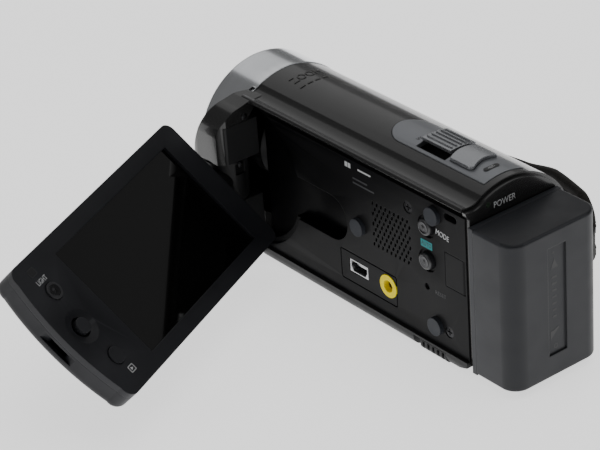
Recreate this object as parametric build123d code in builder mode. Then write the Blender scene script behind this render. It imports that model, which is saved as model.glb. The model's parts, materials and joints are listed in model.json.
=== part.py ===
"""Camcorder with a swing-out screen, a slide-on battery and a hand strap.

Millimetres.  The origin is the mouth of the tripod thread, on the lens axis
plane.  +X is the screen side, +Y the battery end, +Z up; the lens faces -Y.
"""
from build123d import *
from math import asin, cos, radians, sin, sqrt
import os

os.makedirs("parts", exist_ok=True)

# ---------------------------------------------------------------- dimensions
lens_z = 32.6            # height of the lens axis
barrel_r = 22.7          # outer radius of the body's round top
wall = 1.5               # thickness of the outer shells
barrel_in = barrel_r - wall
ring_front = -63.5       # front edge of the silver lens ring
ring_back = -49.6        # seam between the ring and the top cover
cover_end = 43.8         # rear end of the shells, front of the rear bezel
rear_y = 45.2            # rear face of the rear bezel
seam_angle = 155         # right seam of the top cover, degrees from +X
valley_x = 11.2          # where the round top meets the screen shoulder
valley_start = 9.4       # where the round top starts to hollow toward it
valley_z = 51.75         # its lowest line
lip_x = 16.8             # edge of the shoulder over the screen
lip_z = 52.0
floor_x = 15.4           # wall that the closed screen lies against
floor_t = 1.5
ledge_z = 4.6            # top of the ledge under the closed screen
groove_z = 48.6          # underside groove between lip and side panel
right_x = -25.2          # widest point of the hand side
bottom_t = 1.6
shell_front = ring_back + 0.1

swing_x = 22.0           # vertical axis of the screen's hinge
swing_y = -52.2
tilt_z = 27.8            # height of the screen's tilt axis
swing_open = 63.6        # how far the screen stands open at rest, degrees
tilt_rest = 46.8         # how far the screen is tilted up at rest, degrees
knuckle_r = 6.4
knuckle_h = 12.6
block_r = 7.5            # rounded corner of the fixed hinge blocks
block_y = -45.6          # their rear faces
housing_x = 28.0         # outer wall of the hinge housing
housing_front = -63.3
housing_top = 50.6
housing_r = 6.5          # its front corner, in plan

lcd_near = 8.4           # hinge-side edge of the screen panel, from the axis
lcd_far = 97.0           # corners of its free end
lcd_bulge = 2.6          # how far the free end bows outward
lcd_half = 22.7          # half its width
lcd_face = -4.6          # screen face, measured along the back's normal
lcd_seam = -2.5          # seam between bezel and back cover
lcd_back = 4.2           # back face
window_near = 16.8
window_far = 79.4
window_low = -18.2
window_high = 17.8

battery_half = 15.9
battery_front = 45.5
battery_back = 62.0
battery_low = 2.2
battery_high = 47.0

fit = 0.05               # radial clearance of running fits
gap = 0.15               # clearance round buttons and doors


# -------------------------------------------------------------------- planes
def across(y):
    """Plane square to the lens axis at y: sketch x is X, sketch y is Z, extrudes toward the lens."""
    return Plane.XZ.offset(-y)


def upright(x):
    """Plane of the body's side at x: sketch x is Y, sketch y is Z, extrudes toward +X."""
    return Plane.YZ.offset(x)


def level(z):
    """Horizontal plane at height z."""
    return Plane.XY.offset(z)


def on_circle(radius, degrees):
    """Point of a circle about the lens axis, in an across() sketch."""
    return (radius * cos(radians(degrees)), lens_z + radius * sin(radians(degrees)))


def circle_z(radius, x):
    """Height of the upper half of a circle about the lens axis."""
    return lens_z + sqrt(radius**2 - x**2)


open_angle = radians(90 - swing_open)
tilt_angle = radians(tilt_rest)
lcd_u = Vector(cos(open_angle), sin(open_angle), 0)
lcd_flat = Vector(-sin(open_angle), cos(open_angle), 0)
lcd_normal = lcd_flat * cos(tilt_angle) + Vector(0, 0, 1) * sin(tilt_angle)
hinge_point = Vector(swing_x, swing_y, tilt_z)
# x runs out along the panel, y up the screen, z out of its back
lcd_plane = Plane(origin=hinge_point, x_dir=lcd_u, z_dir=lcd_normal * -1)


def lcd_level(z):
    """Plane of the panel at depth z toward its back."""
    return lcd_plane.offset(z)


def lcd_place(x, y, z):
    """Place in the panel's own axes."""
    return lcd_plane.location * Location((x, y, z))


# ================================================================ outer shells
# ------------------------------------------------------------------ top cover
cover_length = cover_end - shell_front
with BuildPart() as top_cover:
    with BuildSketch(across(cover_end)):
        with BuildLine():
            ThreePointArc(
                on_circle(barrel_r, seam_angle),
                (0, lens_z + barrel_r),
                (valley_start, circle_z(barrel_r, valley_start)),
            )
            ThreePointArc(
                (valley_start, circle_z(barrel_r, valley_start)),
                (valley_x + 1.2, valley_z),
                (lip_x - 0.9, lip_z),
            )
            ThreePointArc((lip_x - 0.9, lip_z), (lip_x - 0.2, lip_z - 0.3), (lip_x, lip_z - 0.9))
            Polyline(
                (lip_x, lip_z - 0.9),
                (floor_x - 1.1, lip_z - 1.6),
                (floor_x - 1.1, groove_z),
                (floor_x - floor_t - 1.0, groove_z),
                (floor_x - floor_t - 1.0, lip_z - 2.4),
                (valley_x - 0.8, circle_z(barrel_in, valley_x - 0.8)),
            )
            ThreePointArc(
                (valley_x - 0.8, circle_z(barrel_in, valley_x - 0.8)),
                (0, lens_z + barrel_in),
                on_circle(barrel_in, seam_angle),
            )
            Line(on_circle(barrel_in, seam_angle), on_circle(barrel_r, seam_angle))
        make_face()
    extrude(amount=cover_length)

# the shoulder widens at the front into the housing of the screen's hinge
front_edge = [
    (-50.5, 58.0),
    (-52.9, 51.7),
    (-53.6, 49.7),
    (-54.8, 46.4),
    (-56.3, 42.9),
    (-58.2, 38.8),
    (-59.7, 34.0),
    (-60.4, 28.0),
]                        # front edge of the housing seen from the side, y and z
housing_wall = 1.2


def behind_edge(inset):
    """Outline of what lies behind the housing's front edge, drawn in by inset, in an upright() sketch."""
    start = (front_edge[0][0] + inset, front_edge[0][1])
    end = (front_edge[-1][0] + inset, front_edge[-1][1])
    Spline(*[(y + inset, z) for y, z in front_edge])
    Polyline(end, (end[0], -5), (block_y + 5, -5), (block_y + 5, start[1]), start)


def shoulder_edge(inset):
    """Outline of what lies ahead of the slanted edge where the housing's top runs into the ring's seam."""
    Polyline(
        (7.5, ring_back + 0.1 + inset),
        (16.1, -53.0 + inset),
        (23.0, -57.5 + inset),
        (23.0, -70),
        (7.5, -70),
        (7.5, ring_back + 0.1 + inset),
    )


housing_corner = housing_r * (1 - sqrt(0.5))
with BuildPart() as hinge_bay:
    with BuildSketch(level(9.0)):
        with BuildLine():
            Polyline(
                (14.4, block_y + 1),
                (14.4, swing_y - 4.0),
                (17.5, swing_y - block_r + 1.0),
                (26.3, swing_y - block_r + 1.2),
                (26.3, block_y + 1),
                (14.4, block_y + 1),
            )
        make_face()
    extrude(amount=46.2 - 9.0)
    with BuildSketch(upright(0)):
        with BuildLine():
            behind_edge(housing_wall)
        make_face()
    extrude(amount=60, mode=Mode.INTERSECT)
    with BuildSketch(level(42)):
        with BuildLine():
            shoulder_edge(housing_wall)
        make_face()
    extrude(amount=20, mode=Mode.SUBTRACT)

with BuildPart() as hinge_housing:
    with BuildSketch(across(block_y)):
        with BuildLine():
            Polyline((valley_x, housing_top + 1.3), (lip_x, lip_z - 0.3), (20.5, housing_top + 0.2))
            ThreePointArc(
                (20.5, housing_top + 0.2),
                (26.0, housing_top - 2.6),
                (housing_x, housing_top - 8.5),
            )
            Polyline((housing_x, housing_top - 8.5), (housing_x, 8.0))
            ThreePointArc((housing_x, 8.0), (26.2, 3.9), (22.0, 2.2))
            Polyline((22.0, 2.2), (valley_x, 2.2), (valley_x, housing_top + 1.3))
        make_face()
    extrude(amount=block_y - housing_front)
    # round its front corner in plan
    with BuildSketch(level(0)):
        with BuildLine():
            Line((valley_x, block_y), (valley_x, housing_front))
            Line((valley_x, housing_front), (housing_x - housing_r, housing_front))
            ThreePointArc(
                (housing_x - housing_r, housing_front),
                (housing_x - housing_corner, housing_front + housing_corner),
                (housing_x, housing_front + housing_r),
            )
            Polyline((housing_x, housing_front + housing_r), (housing_x, block_y), (valley_x, block_y))
        make_face()
    extrude(amount=60, mode=Mode.INTERSECT)
    # the silver ring's space
    with BuildSketch(across(ring_back + 0.1)):
        with Locations((0, lens_z)):
            Circle(barrel_r + 0.3)
    extrude(amount=30, mode=Mode.SUBTRACT)
    # the inside of the round body
    with BuildSketch(across(block_y + 1)):
        with Locations((0, lens_z)):
            Circle(barrel_r - 0.2)
    extrude(amount=20, mode=Mode.SUBTRACT)
    # round the rear corner so that the panel's edge can swing past
    with BuildSketch(level(0)):
        with BuildLine():
            Polyline(
                (swing_x, block_y + 1),
                (housing_x + 9, block_y + 1),
                (housing_x + 9, swing_y),
                (swing_x + block_r, swing_y),
            )
            ThreePointArc(
                (swing_x + block_r, swing_y),
                (swing_x + block_r * sin(radians(45)), swing_y + block_r * cos(radians(45))),
                (swing_x, swing_y + block_r),
            )
            Line((swing_x, swing_y + block_r), (swing_x, block_y + 1))
        make_face()
    extrude(amount=60, mode=Mode.SUBTRACT)
    # the bay that holds the two hinge blocks and the knuckle, open to the rear and partly to the side
    add(hinge_bay.part, mode=Mode.SUBTRACT)
    # its swept front edge
    with BuildSketch(upright(0)):
        with BuildLine():
            behind_edge(0)
        make_face()
    extrude(amount=60, mode=Mode.INTERSECT)
    with BuildSketch(level(42)):
        with BuildLine():
            shoulder_edge(0)
        make_face()
    extrude(amount=20, mode=Mode.SUBTRACT)
    # the slot in the outer wall where the knuckle and its tilt shaft swing through
    with BuildSketch(level(tilt_z - knuckle_h / 2 - 0.2)):
        with Locations((swing_x, swing_y)):
            Circle(block_r + 0.2)
    extrude(amount=knuckle_h + 0.4, mode=Mode.SUBTRACT)

with BuildPart() as inset_outline:
    with BuildSketch(level(45)):
        with BuildLine():
            Polyline((-7.6, 41.4), (-7.6, 7.4))
            ThreePointArc((-7.6, 7.4), (-0.7, 0.2), (6.2, 7.4))
            Polyline((6.2, 7.4), (6.2, 41.4), (-7.6, 41.4))
        make_face()
    extrude(amount=15)

with BuildPart() as inset_cut:
    with BuildSketch(level(45)):
        with BuildLine():
            Polyline((-7.75, 41.55), (-7.75, 7.4))
            ThreePointArc((-7.75, 7.4), (-0.7, 0.05), (6.35, 7.4))
            Polyline((6.35, 7.4), (6.35, 41.55), (-7.75, 41.55))
        make_face()
    extrude(amount=15)

with BuildPart() as top_cover_finished:
    add(top_cover.part)
    add(hinge_housing.part)
    add(inset_cut.part, mode=Mode.SUBTRACT)
top_cover_finished.part.label = "top_cover"
export_step(top_cover_finished.part, "parts/top_cover.step")


def ring_sector(inner, outer, start, end):
    """Closed outline between two circles about the lens axis, from start to end degrees."""
    middle = (start + end) / 2
    ThreePointArc(on_circle(outer, start), on_circle(outer, middle), on_circle(outer, end))
    Line(on_circle(outer, end), on_circle(inner, end))
    ThreePointArc(on_circle(inner, end), on_circle(inner, middle), on_circle(inner, start))
    Line(on_circle(inner, start), on_circle(outer, start))


# ----------------------------------------------------------------- side panel
dish_y = -49.5
dish_z = tilt_z
dish_r = 23.0
dish_step_r = 21.3
dish_floor = 12.0
pocket_end = -5.7
pocket_half = 7.0
pocket_z = 26.9
mode_place = (28.3, 40.3)
auto_place = (28.1, 29.7)
reset_place = (27.6, 21.4)
usb_place = (-1.7, 14.3)
jack_place = (11.0, 14.3)
speaker_place = (13.5, 32.1)
pad_places = [(-0.5, 28.6), (31.4, 44.9), (31.0, 10.5)]
side_screw_places = [(20.8, 43.1), (35.9, 10.5)]
button_r = 2.5
flap_front = 35.4
flap_low = 25.0
flap_high = 35.3
flap_pin_x = 14.4
flap_pin_y = 42.2
panel_front = block_y + 0.05

with BuildPart() as left_panel:
    with BuildSketch(upright(floor_x - floor_t)):
        with Locations(((panel_front + cover_end) / 2, (ledge_z + groove_z) / 2)):
            Rectangle(cover_end - panel_front, groove_z - ledge_z)
    extrude(amount=floor_t)
    # walls of the round relief that the tilting panel turns in, and of the pocket behind it
    with BuildSketch(upright(dish_floor - 1.4)) as relief_walls:
        with Locations((dish_y, dish_z)):
            Circle(dish_r + 1.2)
        with Locations(((dish_y + pocket_end) / 2, pocket_z)):
            Rectangle(pocket_end - dish_y, 2 * pocket_half + 2.4)
        with Locations((panel_front - 50, dish_z)):
            Rectangle(100, 100, mode=Mode.SUBTRACT)
        with Locations((0, ledge_z - 50), (0, groove_z + 50)):
            Rectangle(200, 100, mode=Mode.SUBTRACT)
    extrude(amount=floor_x - dish_floor + 1.4)
    with BuildSketch(upright(floor_x - 0.9)):
        with Locations((dish_y, dish_z)):
            Circle(dish_r)
    extrude(amount=5, mode=Mode.SUBTRACT)
    with BuildSketch(upright(dish_floor)):
        with Locations((dish_y, dish_z)):
            Circle(dish_step_r)
        with Locations(((dish_y + pocket_end - pocket_half) / 2, pocket_z)):
            Rectangle(pocket_end - pocket_half - dish_y, 2 * pocket_half)
        with Locations((pocket_end - pocket_half, pocket_z)):
            Circle(pocket_half)
    extrude(amount=8, mode=Mode.SUBTRACT)
    # buttons, reset hole, screws, latch slot, sockets and the flap's opening
    with BuildSketch(upright(floor_x - 3)):
        with Locations(mode_place, auto_place):
            Circle(button_r + gap)
        with Locations(reset_place):
            Circle(1.0)
        with Locations(*side_screw_places):
            Circle(1.75)
        with Locations((38.0, 46.5)):
            SlotOverall(5.0, 2.0)
        with Locations(usb_place):
            Rectangle(7.9, 4.1)
        with Locations(jack_place):
            Circle(3.55)
        with Locations(((flap_front + 43.2) / 2 - gap / 2, (flap_low + flap_high) / 2)):
            Rectangle(43.2 - flap_front + gap, flap_high - flap_low + 2 * gap)
    extrude(amount=6, mode=Mode.SUBTRACT)
    # shallow ring recess round each button, and the engraved frame round the sockets
    with BuildSketch(upright(floor_x - 0.5)):
        with Locations(mode_place, auto_place):
            Circle(button_r + 0.9)
    extrude(amount=2, mode=Mode.SUBTRACT)
    with BuildSketch(upright(floor_x - 0.25)):
        with Locations((2.6, 13.7)):
            RectangleRounded(24.2, 9.8, 0.8)
            RectangleRounded(23.5, 9.1, 0.5, mode=Mode.SUBTRACT)
    extrude(amount=2, mode=Mode.SUBTRACT)
    # speaker grille: short slots in staggered rows
    with BuildSketch(upright(floor_x - 3)):
        for row in range(9):
            shift = 0.9 * (row % 2)
            with Locations((speaker_place[0] - 0.45, speaker_place[1] + 1.6 * (row - 4))):
                with GridLocations(1.8, 1, 9, 1):
                    with Locations((shift, 0)):
                        SlotOverall(1.3, 0.65, rotation=70)
    extrude(amount=6, mode=Mode.SUBTRACT)
left_panel.part.label = "left_panel"
export_step(left_panel.part, "parts/left_panel.step")

# --------------------------------------------------------------- bottom cover
card_low_x = -13.0
card_high_x = 8.0
card_width = card_high_x - card_low_x
card_front = -38.0
card_back = -13.0
lever_front = 24.5
lever_back = 35.2
lever_inner = 10.6
with BuildPart() as bottom_cover:
    with BuildSketch(across(cover_end)):
        with BuildLine():
            Line((-17, 0), (12.6, 0))
            ThreePointArc((12.6, 0), (15.3, 0.9), (16.4, 3.2))
            Polyline(
                (16.4, 3.2),
                (16.4, ledge_z),
                (floor_x - floor_t, ledge_z),
                (floor_x - floor_t, bottom_t),
                (-17, bottom_t),
                (-17, 0),
            )
        make_face()
    extrude(amount=cover_end - block_y)
    # thicker tail, cut away underneath toward the battery
    with Locations((-1.55, 39.4, 2.25)):
        Box(30.9, 8.8, 4.5)
    with BuildSketch(upright(-20)):
        with BuildLine():
            Polyline((36.6, -1), (50, -1), (50, 4.2), (cover_end, 2.9), (36.6, 0), (36.6, -1))
        make_face()
    extrude(amount=40, mode=Mode.SUBTRACT)
    # notch for the battery release lever
    with Locations((lever_inner - 0.2 + 5, (21.9 + lever_back + gap) / 2, 1.4)):
        Box(10, lever_back + gap - 21.9, 5.0, mode=Mode.SUBTRACT)
    # tripod bush and card door
    with Locations((0, 0, 1)):
        Cylinder(6.2, 4, mode=Mode.SUBTRACT)
    with Locations(((card_low_x + card_high_x) / 2, (card_front + card_back) / 2, 1)):
        Box(card_width + 2 * gap, card_back - card_front + 2 * gap, 4, mode=Mode.SUBTRACT)
    with Locations((-9, 8, 1), (7, 30, 1), (-11, 30, 1), (9, -43, 1), (-11, -43, 1)):
        Cylinder(1.7, 4, mode=Mode.SUBTRACT)
bottom_cover.part.label = "bottom_cover"
export_step(bottom_cover.part, "parts/bottom_cover.step")

# ----------------------------------------------------------------- right cover
with BuildPart() as right_cover:
    with BuildSketch(across(cover_end)):
        with BuildLine():
            ThreePointArc(on_circle(barrel_r, seam_angle), (right_x, 27.0), (-23.6, 8.5))
            ThreePointArc((-23.6, 8.5), (-21.4, 2.4), (-17, 0))
            Line((-17, 0), (-17, bottom_t))
            ThreePointArc((-17, bottom_t), (-20.2, 3.5), (-22.1, 8.9))
            ThreePointArc((-22.1, 8.9), (right_x + wall, 27.0), on_circle(barrel_in, seam_angle))
            Line(on_circle(barrel_in, seam_angle), on_circle(barrel_r, seam_angle))
        make_face()
    extrude(amount=cover_length)
    # tail cut away underneath like the bottom cover
    with BuildSketch(upright(-30)):
        with BuildLine():
            Polyline((36.6, -1), (50, -1), (50, 4.2), (cover_end, 2.9), (36.6, 0), (36.6, -1))
        make_face()
    extrude(amount=40, mode=Mode.SUBTRACT)
    # windows that the strap lugs stand in
    with Locations((right_x, -32.0, 22.0)):
        Box(9, 2.3, 19.1, mode=Mode.SUBTRACT)
    with Locations((right_x, 38.3, 17.0)):
        Box(9, 2.3, 11.1, mode=Mode.SUBTRACT)
right_cover.part.label = "right_cover"
export_step(right_cover.part, "parts/right_cover.step")

# ------------------------------------------------------------------ front chin
with BuildPart() as front_chin:
    with BuildSketch(across(block_y - 0.1)):
        with BuildLine():
            Polyline((-23.0, 14.5), (-22.6, 8.0))
            ThreePointArc((-22.6, 8.0), (-20.6, 2.6), (-16.4, 0.4))
            Polyline((-16.4, 0.4), (valley_x - 0.1, 0.4), (valley_x - 0.1, 14.5), (-23.0, 14.5))
        make_face()
    extrude(amount=block_y - 0.1 + 62.4)
    with BuildSketch(across(-40)):
        with Locations((0, lens_z)):
            Circle(barrel_r + 0.3)
    extrude(amount=30, mode=Mode.SUBTRACT)
    # leave room for the shells behind the ring's seam
    with Locations((-20, (shell_front + block_y) / 2 - 0.05 + 1, 10)):
        Box(12, block_y - shell_front + 2.0, 26, mode=Mode.SUBTRACT)
    with Locations((-2.2, -53, 4.8)):
        Box(20, 15.4, 6.0, mode=Mode.SUBTRACT)
    with BuildSketch(across(-60)):
        with Locations((-8, 4.6), (4, 4.6)):
            SlotOverall(4.6, 1.0)
    extrude(amount=5, mode=Mode.SUBTRACT)
front_chin.part.label = "front_chin"
export_step(front_chin.part, "parts/front_chin.step")

# ------------------------------------------------------------------ rear bezel
shoe_half = 9.0
shoe_low = 8.0
shoe_high = 38.0
battery_travel = 6.0
led_place = (8.4, 50.7)
record_place = (-19.6, 30.0)
record_r = 2.8
bezel_r = barrel_r - 0.8
with BuildPart() as rear_bezel:
    with BuildSketch(across(rear_y)):
        with BuildLine():
            ThreePointArc(
                on_circle(bezel_r, seam_angle),
                (0, lens_z + bezel_r),
                (valley_start, circle_z(bezel_r, valley_start)),
            )
            ThreePointArc(
                (valley_start, circle_z(bezel_r, valley_start)),
                (valley_x + 1.2, valley_z - 0.9),
                (14.6, lip_z - 1.1),
            )
            Polyline(
                (14.6, lip_z - 1.1),
                (lip_x - 0.5, lip_z - 0.9),
                (lip_x - 0.8, lip_z - 2.0),
                (floor_x - 0.4, groove_z),
                (floor_x - 0.4, 3.4),
                (-17.5, 3.4),
            )
            ThreePointArc((-17.5, 3.4), (-21.0, 5.2), (-22.8, 9.5))
            ThreePointArc((-22.8, 9.5), (right_x + 0.9, 27.0), on_circle(bezel_r, seam_angle))
        make_face()
    extrude(amount=rear_y - cover_end)
    # track of the battery's shoe
    with Locations((0, rear_y, (shoe_low + shoe_high + battery_travel) / 2)):
        Box(2 * shoe_half + 0.6, 6, shoe_high - shoe_low + battery_travel + 1.2, mode=Mode.SUBTRACT)
    with BuildSketch(across(rear_y + 1)):
        with Locations(led_place):
            Circle(0.75)
        with Locations(record_place):
            Circle(record_r + gap)
    extrude(amount=4, mode=Mode.SUBTRACT)
rear_bezel.part.label = "rear_bezel"
export_step(rear_bezel.part, "parts/rear_bezel.step")

with BuildPart() as power_led:
    with BuildSketch(across(rear_y + 0.1)):
        with Locations(led_place):
            Circle(0.75)
    extrude(amount=1.3)
power_led.part.label = "power_led"
export_step(power_led.part, "parts/power_led.step")

with BuildPart() as start_stop_button:
    with BuildSketch(across(rear_y + 1.0)):
        with Locations(record_place):
            Circle(record_r)
    extrude(amount=3.2)
    fillet(start_stop_button.edges().sort_by(Axis.Y)[-1], 0.5)
start_stop_button.part.label = "start_stop_button"
export_step(start_stop_button.part, "parts/start_stop_button.step")

# battery shoe: the plate and terminals that the battery slides onto
with BuildPart() as battery_shoe:
    with Locations((0, cover_end - 0.8, 25.5)):
        Box(24, 1.6, 40)
    with Locations((0, cover_end - 0.8, 12)):
        Box(9.0, 2, 3.0, mode=Mode.SUBTRACT)
battery_shoe.part.label = "battery_shoe"
export_step(battery_shoe.part, "parts/battery_shoe.step")

with BuildPart() as battery_terminals:
    with Locations((0, cover_end - 1.7, 12)):
        Box(8.8, 3.0, 2.8)
    with Locations((0, cover_end - 0.1, 12)):
        with GridLocations(2.2, 1, 4, 1):
            Box(0.7, 0.4, 2.0)
battery_terminals.part.label = "battery_terminals"
export_step(battery_terminals.part, "parts/battery_terminals.step")

# =================================================================== top controls
lever_y0 = 12.7
lever_y1 = 24.2


def photo_shape(grow):
    """Plan of the photo button, made larger by grow; its rear edge bows out to a thumb lip."""
    left = -6.1 - grow
    right = 4.4 + grow
    Line((right, 26.2 - grow), (right, 33.2))
    ThreePointArc((right, 33.2), (right - 0.5, 34.2 + grow), (3.4, 34.6 + grow))
    ThreePointArc((3.4, 34.6 + grow), (0.9, 33.5 + grow), (-2.2, 32.8 + grow))
    Line((-2.2, 32.8 + grow), (left, 33.0 + grow))
    Line((left, 33.0 + grow), (left, 25.2 - grow))
    ThreePointArc((left, 25.2 - grow), (-0.9, 24.7 - grow), (right, 26.2 - grow))


with BuildPart() as photo_opening:
    with BuildSketch(level(45)):
        with BuildLine():
            photo_shape(gap)
        make_face()
    extrude(amount=15)

with BuildPart() as control_plate:
    add(inset_outline.part)
    with BuildSketch(across(60)):
        with Locations((0, lens_z)):
            Circle(barrel_r + 0.15)
            Circle(barrel_in + 0.2, mode=Mode.SUBTRACT)
    extrude(amount=80, mode=Mode.INTERSECT)
    with BuildSketch(across(lever_y1 + 0.6)):
        with BuildLine():
            ring_sector(15, 30, 77, 108)
        make_face()
    extrude(amount=lever_y1 + 0.6 - lever_y0 - 0.4, mode=Mode.SUBTRACT)
    add(photo_opening.part, mode=Mode.SUBTRACT)
control_plate.part.label = "control_plate"
export_step(control_plate.part, "parts/control_plate.step")

with BuildPart() as photo_button:
    with BuildSketch(level(45)):
        with BuildLine():
            photo_shape(0)
        make_face()
    extrude(amount=15)
    with BuildSketch(across(60)):
        with Locations((0, lens_z)):
            Circle(barrel_r + 1.1)
            Circle(barrel_in + 0.2, mode=Mode.SUBTRACT)
    extrude(amount=80, mode=Mode.INTERSECT)
photo_button.part.label = "photo_button"
export_step(photo_button.part, "parts/photo_button.step")

lever_low = 84.0
lever_high = 106.0
with BuildPart() as zoom_lever:
    with BuildSketch(across(lever_y1)):
        with BuildLine():
            ring_sector(barrel_r + 0.3, barrel_r + 1.3, lever_low, lever_high)
        make_face()
    extrude(amount=lever_y1 - lever_y0)
    with BuildSketch(across(lever_y1 - 2.2)):
        with BuildLine():
            ring_sector(barrel_in - 0.6, barrel_r + 0.5, 90.5, 99.5)
        make_face()
    extrude(amount=lever_y1 - lever_y0 - 4.6)
    # grip ribs along the lens axis
    with BuildSketch(across(lever_y1 - 0.8)):
        for rib in range(5):
            angle = lever_low + 3.2 + 3.9 * rib
            with BuildLine():
                ring_sector(barrel_r + 1.2, barrel_r + 1.65, angle - 0.6, angle + 0.6)
            make_face()
    extrude(amount=lever_y1 - lever_y0 - 1.6)
zoom_lever.part.label = "zoom_lever"
export_step(zoom_lever.part, "parts/zoom_lever.step")

# ====================================================================== lens end
plate_back = -60.6
blade_back = -59.55
blade_front = -60.3
opening_r = 8.3
lens_bore = 8.8
with BuildPart() as ring_relief:
    with BuildSketch(upright(valley_x - 0.2)):
        with BuildLine():
            behind_edge(-gap)
        make_face()
    extrude(amount=30)
    with BuildSketch(level(42)):
        with BuildLine():
            shoulder_edge(-gap)
        make_face()
    extrude(amount=20, mode=Mode.SUBTRACT)

with BuildPart() as front_ring:
    with BuildSketch(Plane.YZ):
        with BuildLine():
            Polyline(
                (ring_back, lens_z + 20.6),
                (ring_back, lens_z + barrel_r),
                (ring_front + 1.2, lens_z + barrel_r + 0.1),
            )
            ThreePointArc(
                (ring_front + 1.2, lens_z + barrel_r + 0.1),
                (ring_front + 0.2, lens_z + barrel_r - 0.5),
                (ring_front + 0.1, lens_z + barrel_r - 1.2),
            )
            Polyline(
                (ring_front + 0.1, lens_z + barrel_r - 1.2),
                (ring_front + 1.4, lens_z + 20.6),
                (ring_back, lens_z + 20.6),
            )
        make_face()
    revolve(axis=Axis((0, 0, lens_z), (0, 1, 0)))
    # cut away where the screen's hinge stands
    add(ring_relief.part, mode=Mode.SUBTRACT)
    # slot for the lens cover switch
    with Locations((-22, -59.95, 33.4)):
        Box(6, 1.4, 11.4, mode=Mode.SUBTRACT)
front_ring.part.label = "front_ring"
export_step(front_ring.part, "parts/front_ring.step")

with BuildPart() as lens_bezel:
    with BuildSketch(across(plate_back)):
        with Locations((0, lens_z)):
            Circle(20.55)
            Circle(opening_r, mode=Mode.SUBTRACT)
    extrude(amount=1.2)
    front_rims = lens_bezel.edges().filter_by(GeomType.CIRCLE).group_by(Axis.Y)[0]
    chamfer(front_rims.sort_by(SortBy.RADIUS)[0], 0.9)
lens_bezel.part.label = "lens_bezel"
export_step(lens_bezel.part, "parts/lens_bezel.step")

for part_name, sign in (("barrier_blade_upper", 1), ("barrier_blade_lower", -1)):
    with BuildPart() as blade:
        with BuildSketch(across(blade_back)):
            with Locations((0, lens_z)):
                Circle(8.9)
                with Locations((0, -sign * 10 + sign * 0.05)):
                    Rectangle(40, 20, mode=Mode.SUBTRACT)
        extrude(amount=blade_back - blade_front)
    blade.part.label = part_name
    export_step(blade.part, f"parts/{part_name}.step")

with BuildPart() as lens_cover_switch:
    with Locations((-23.9, -59.95, 32.0)):
        Box(1.5, 4.6, 7.0)
    fillet(lens_cover_switch.edges().filter_by(Axis.X), 1.2)
    with Locations((-22.0, -59.95, 32.0)):
        Box(2.4, 1.0, 3.0)
    with Locations((-24.75, -59.95, 30.0), (-24.75, -59.95, 32.0), (-24.75, -59.95, 34.0)):
        Box(0.5, 3.4, 0.7)
lens_cover_switch.part.label = "lens_cover_switch"
export_step(lens_cover_switch.part, "parts/lens_cover_switch.step")

with BuildPart() as lens_barrel:
    with BuildSketch(Plane.YZ):
        with BuildLine():
            Polyline(
                (-59.4, lens_z + 9.6),
                (-59.4, lens_z + 20.3),
                (-58.7, lens_z + 20.3),
                (-58.7, lens_z + 12.4),
                (-48.0, lens_z + 12.4),
                (-46.0, lens_z + 10.2),
                (-12.0, lens_z + 10.2),
                (-12.0, lens_z + lens_bore),
                (-48.0, lens_z + lens_bore),
                (-50.0, lens_z + 11.2),
                (-57.9, lens_z + 11.2),
                (-57.9, lens_z + 9.6),
                (-59.4, lens_z + 9.6),
            )
        make_face()
    revolve(axis=Axis((0, 0, lens_z), (0, 1, 0)))
lens_barrel.part.label = "lens_barrel"
export_step(lens_barrel.part, "parts/lens_barrel.step")

front_lens_r = 11.15
dome_r = 20.0
dome_front = -57.0
dome_centre = dome_front + dome_r
dome_half = asin(front_lens_r / dome_r) / 2
dome_rim = dome_centre - dome_r * cos(dome_half * 2)
with BuildPart() as front_lens:
    with BuildSketch(Plane.YZ):
        with BuildLine():
            Line((dome_front, lens_z), (-50.0, lens_z))
            Line((-50.0, lens_z), (-50.0, lens_z + front_lens_r))
            Line((-50.0, lens_z + front_lens_r), (dome_rim, lens_z + front_lens_r))
            ThreePointArc(
                (dome_rim, lens_z + front_lens_r),
                (dome_centre - dome_r * cos(dome_half), lens_z + dome_r * sin(dome_half)),
                (dome_front, lens_z),
            )
        make_face()
    revolve(axis=Axis((0, 0, lens_z), (0, 1, 0)))
front_lens.part.label = "front_lens"
export_step(front_lens.part, "parts/front_lens.step")

with BuildPart() as lens_groups:
    for start, thickness in ((-38.0, 4.0), (-27.0, 5.0), (-17.0, 3.0)):
        with BuildSketch(across(start + thickness)):
            with Locations((0, lens_z)):
                Circle(lens_bore - 0.03)
        extrude(amount=thickness)
lens_groups.part.label = "lens_groups"
export_step(lens_groups.part, "parts/lens_groups.step")

with BuildPart() as image_sensor:
    with Locations((0, -10.4, lens_z)):
        Box(17.0, 3.2, 15.0)
image_sensor.part.label = "image_sensor"
export_step(image_sensor.part, "parts/image_sensor.step")

# ================================================================ inside the body
with BuildPart() as chassis_frame:
    with Locations((-3.7, -1.0, 18.6)):
        Box(27.0, 80.0, 1.2)
    with Locations((-3.7, -30.0, 20.6)):
        Box(20.0, 2.0, 2.8)
    with BuildSketch(across(60)):
        with Locations((0, lens_z)):
            Circle(10.25)
    extrude(amount=120, mode=Mode.SUBTRACT)
    with Locations((9.5, -46, 18.6), (9.5, 43, 18.6)):
        Cylinder(0.9, 6, mode=Mode.SUBTRACT)
chassis_frame.part.label = "chassis_frame"
export_step(chassis_frame.part, "parts/chassis_frame.step")

with BuildPart() as main_board:
    with Locations((-18.1, 0, 26.0)):
        Box(1.2, 78, 26.0)
    with Locations((-16.4, -8, 27.0)):
        Box(2.2, 16, 12)
    with Locations((-16.9, 22, 30.0)):
        Box(1.2, 10, 9)
main_board.part.label = "main_board"
export_step(main_board.part, "parts/main_board.step")

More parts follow.
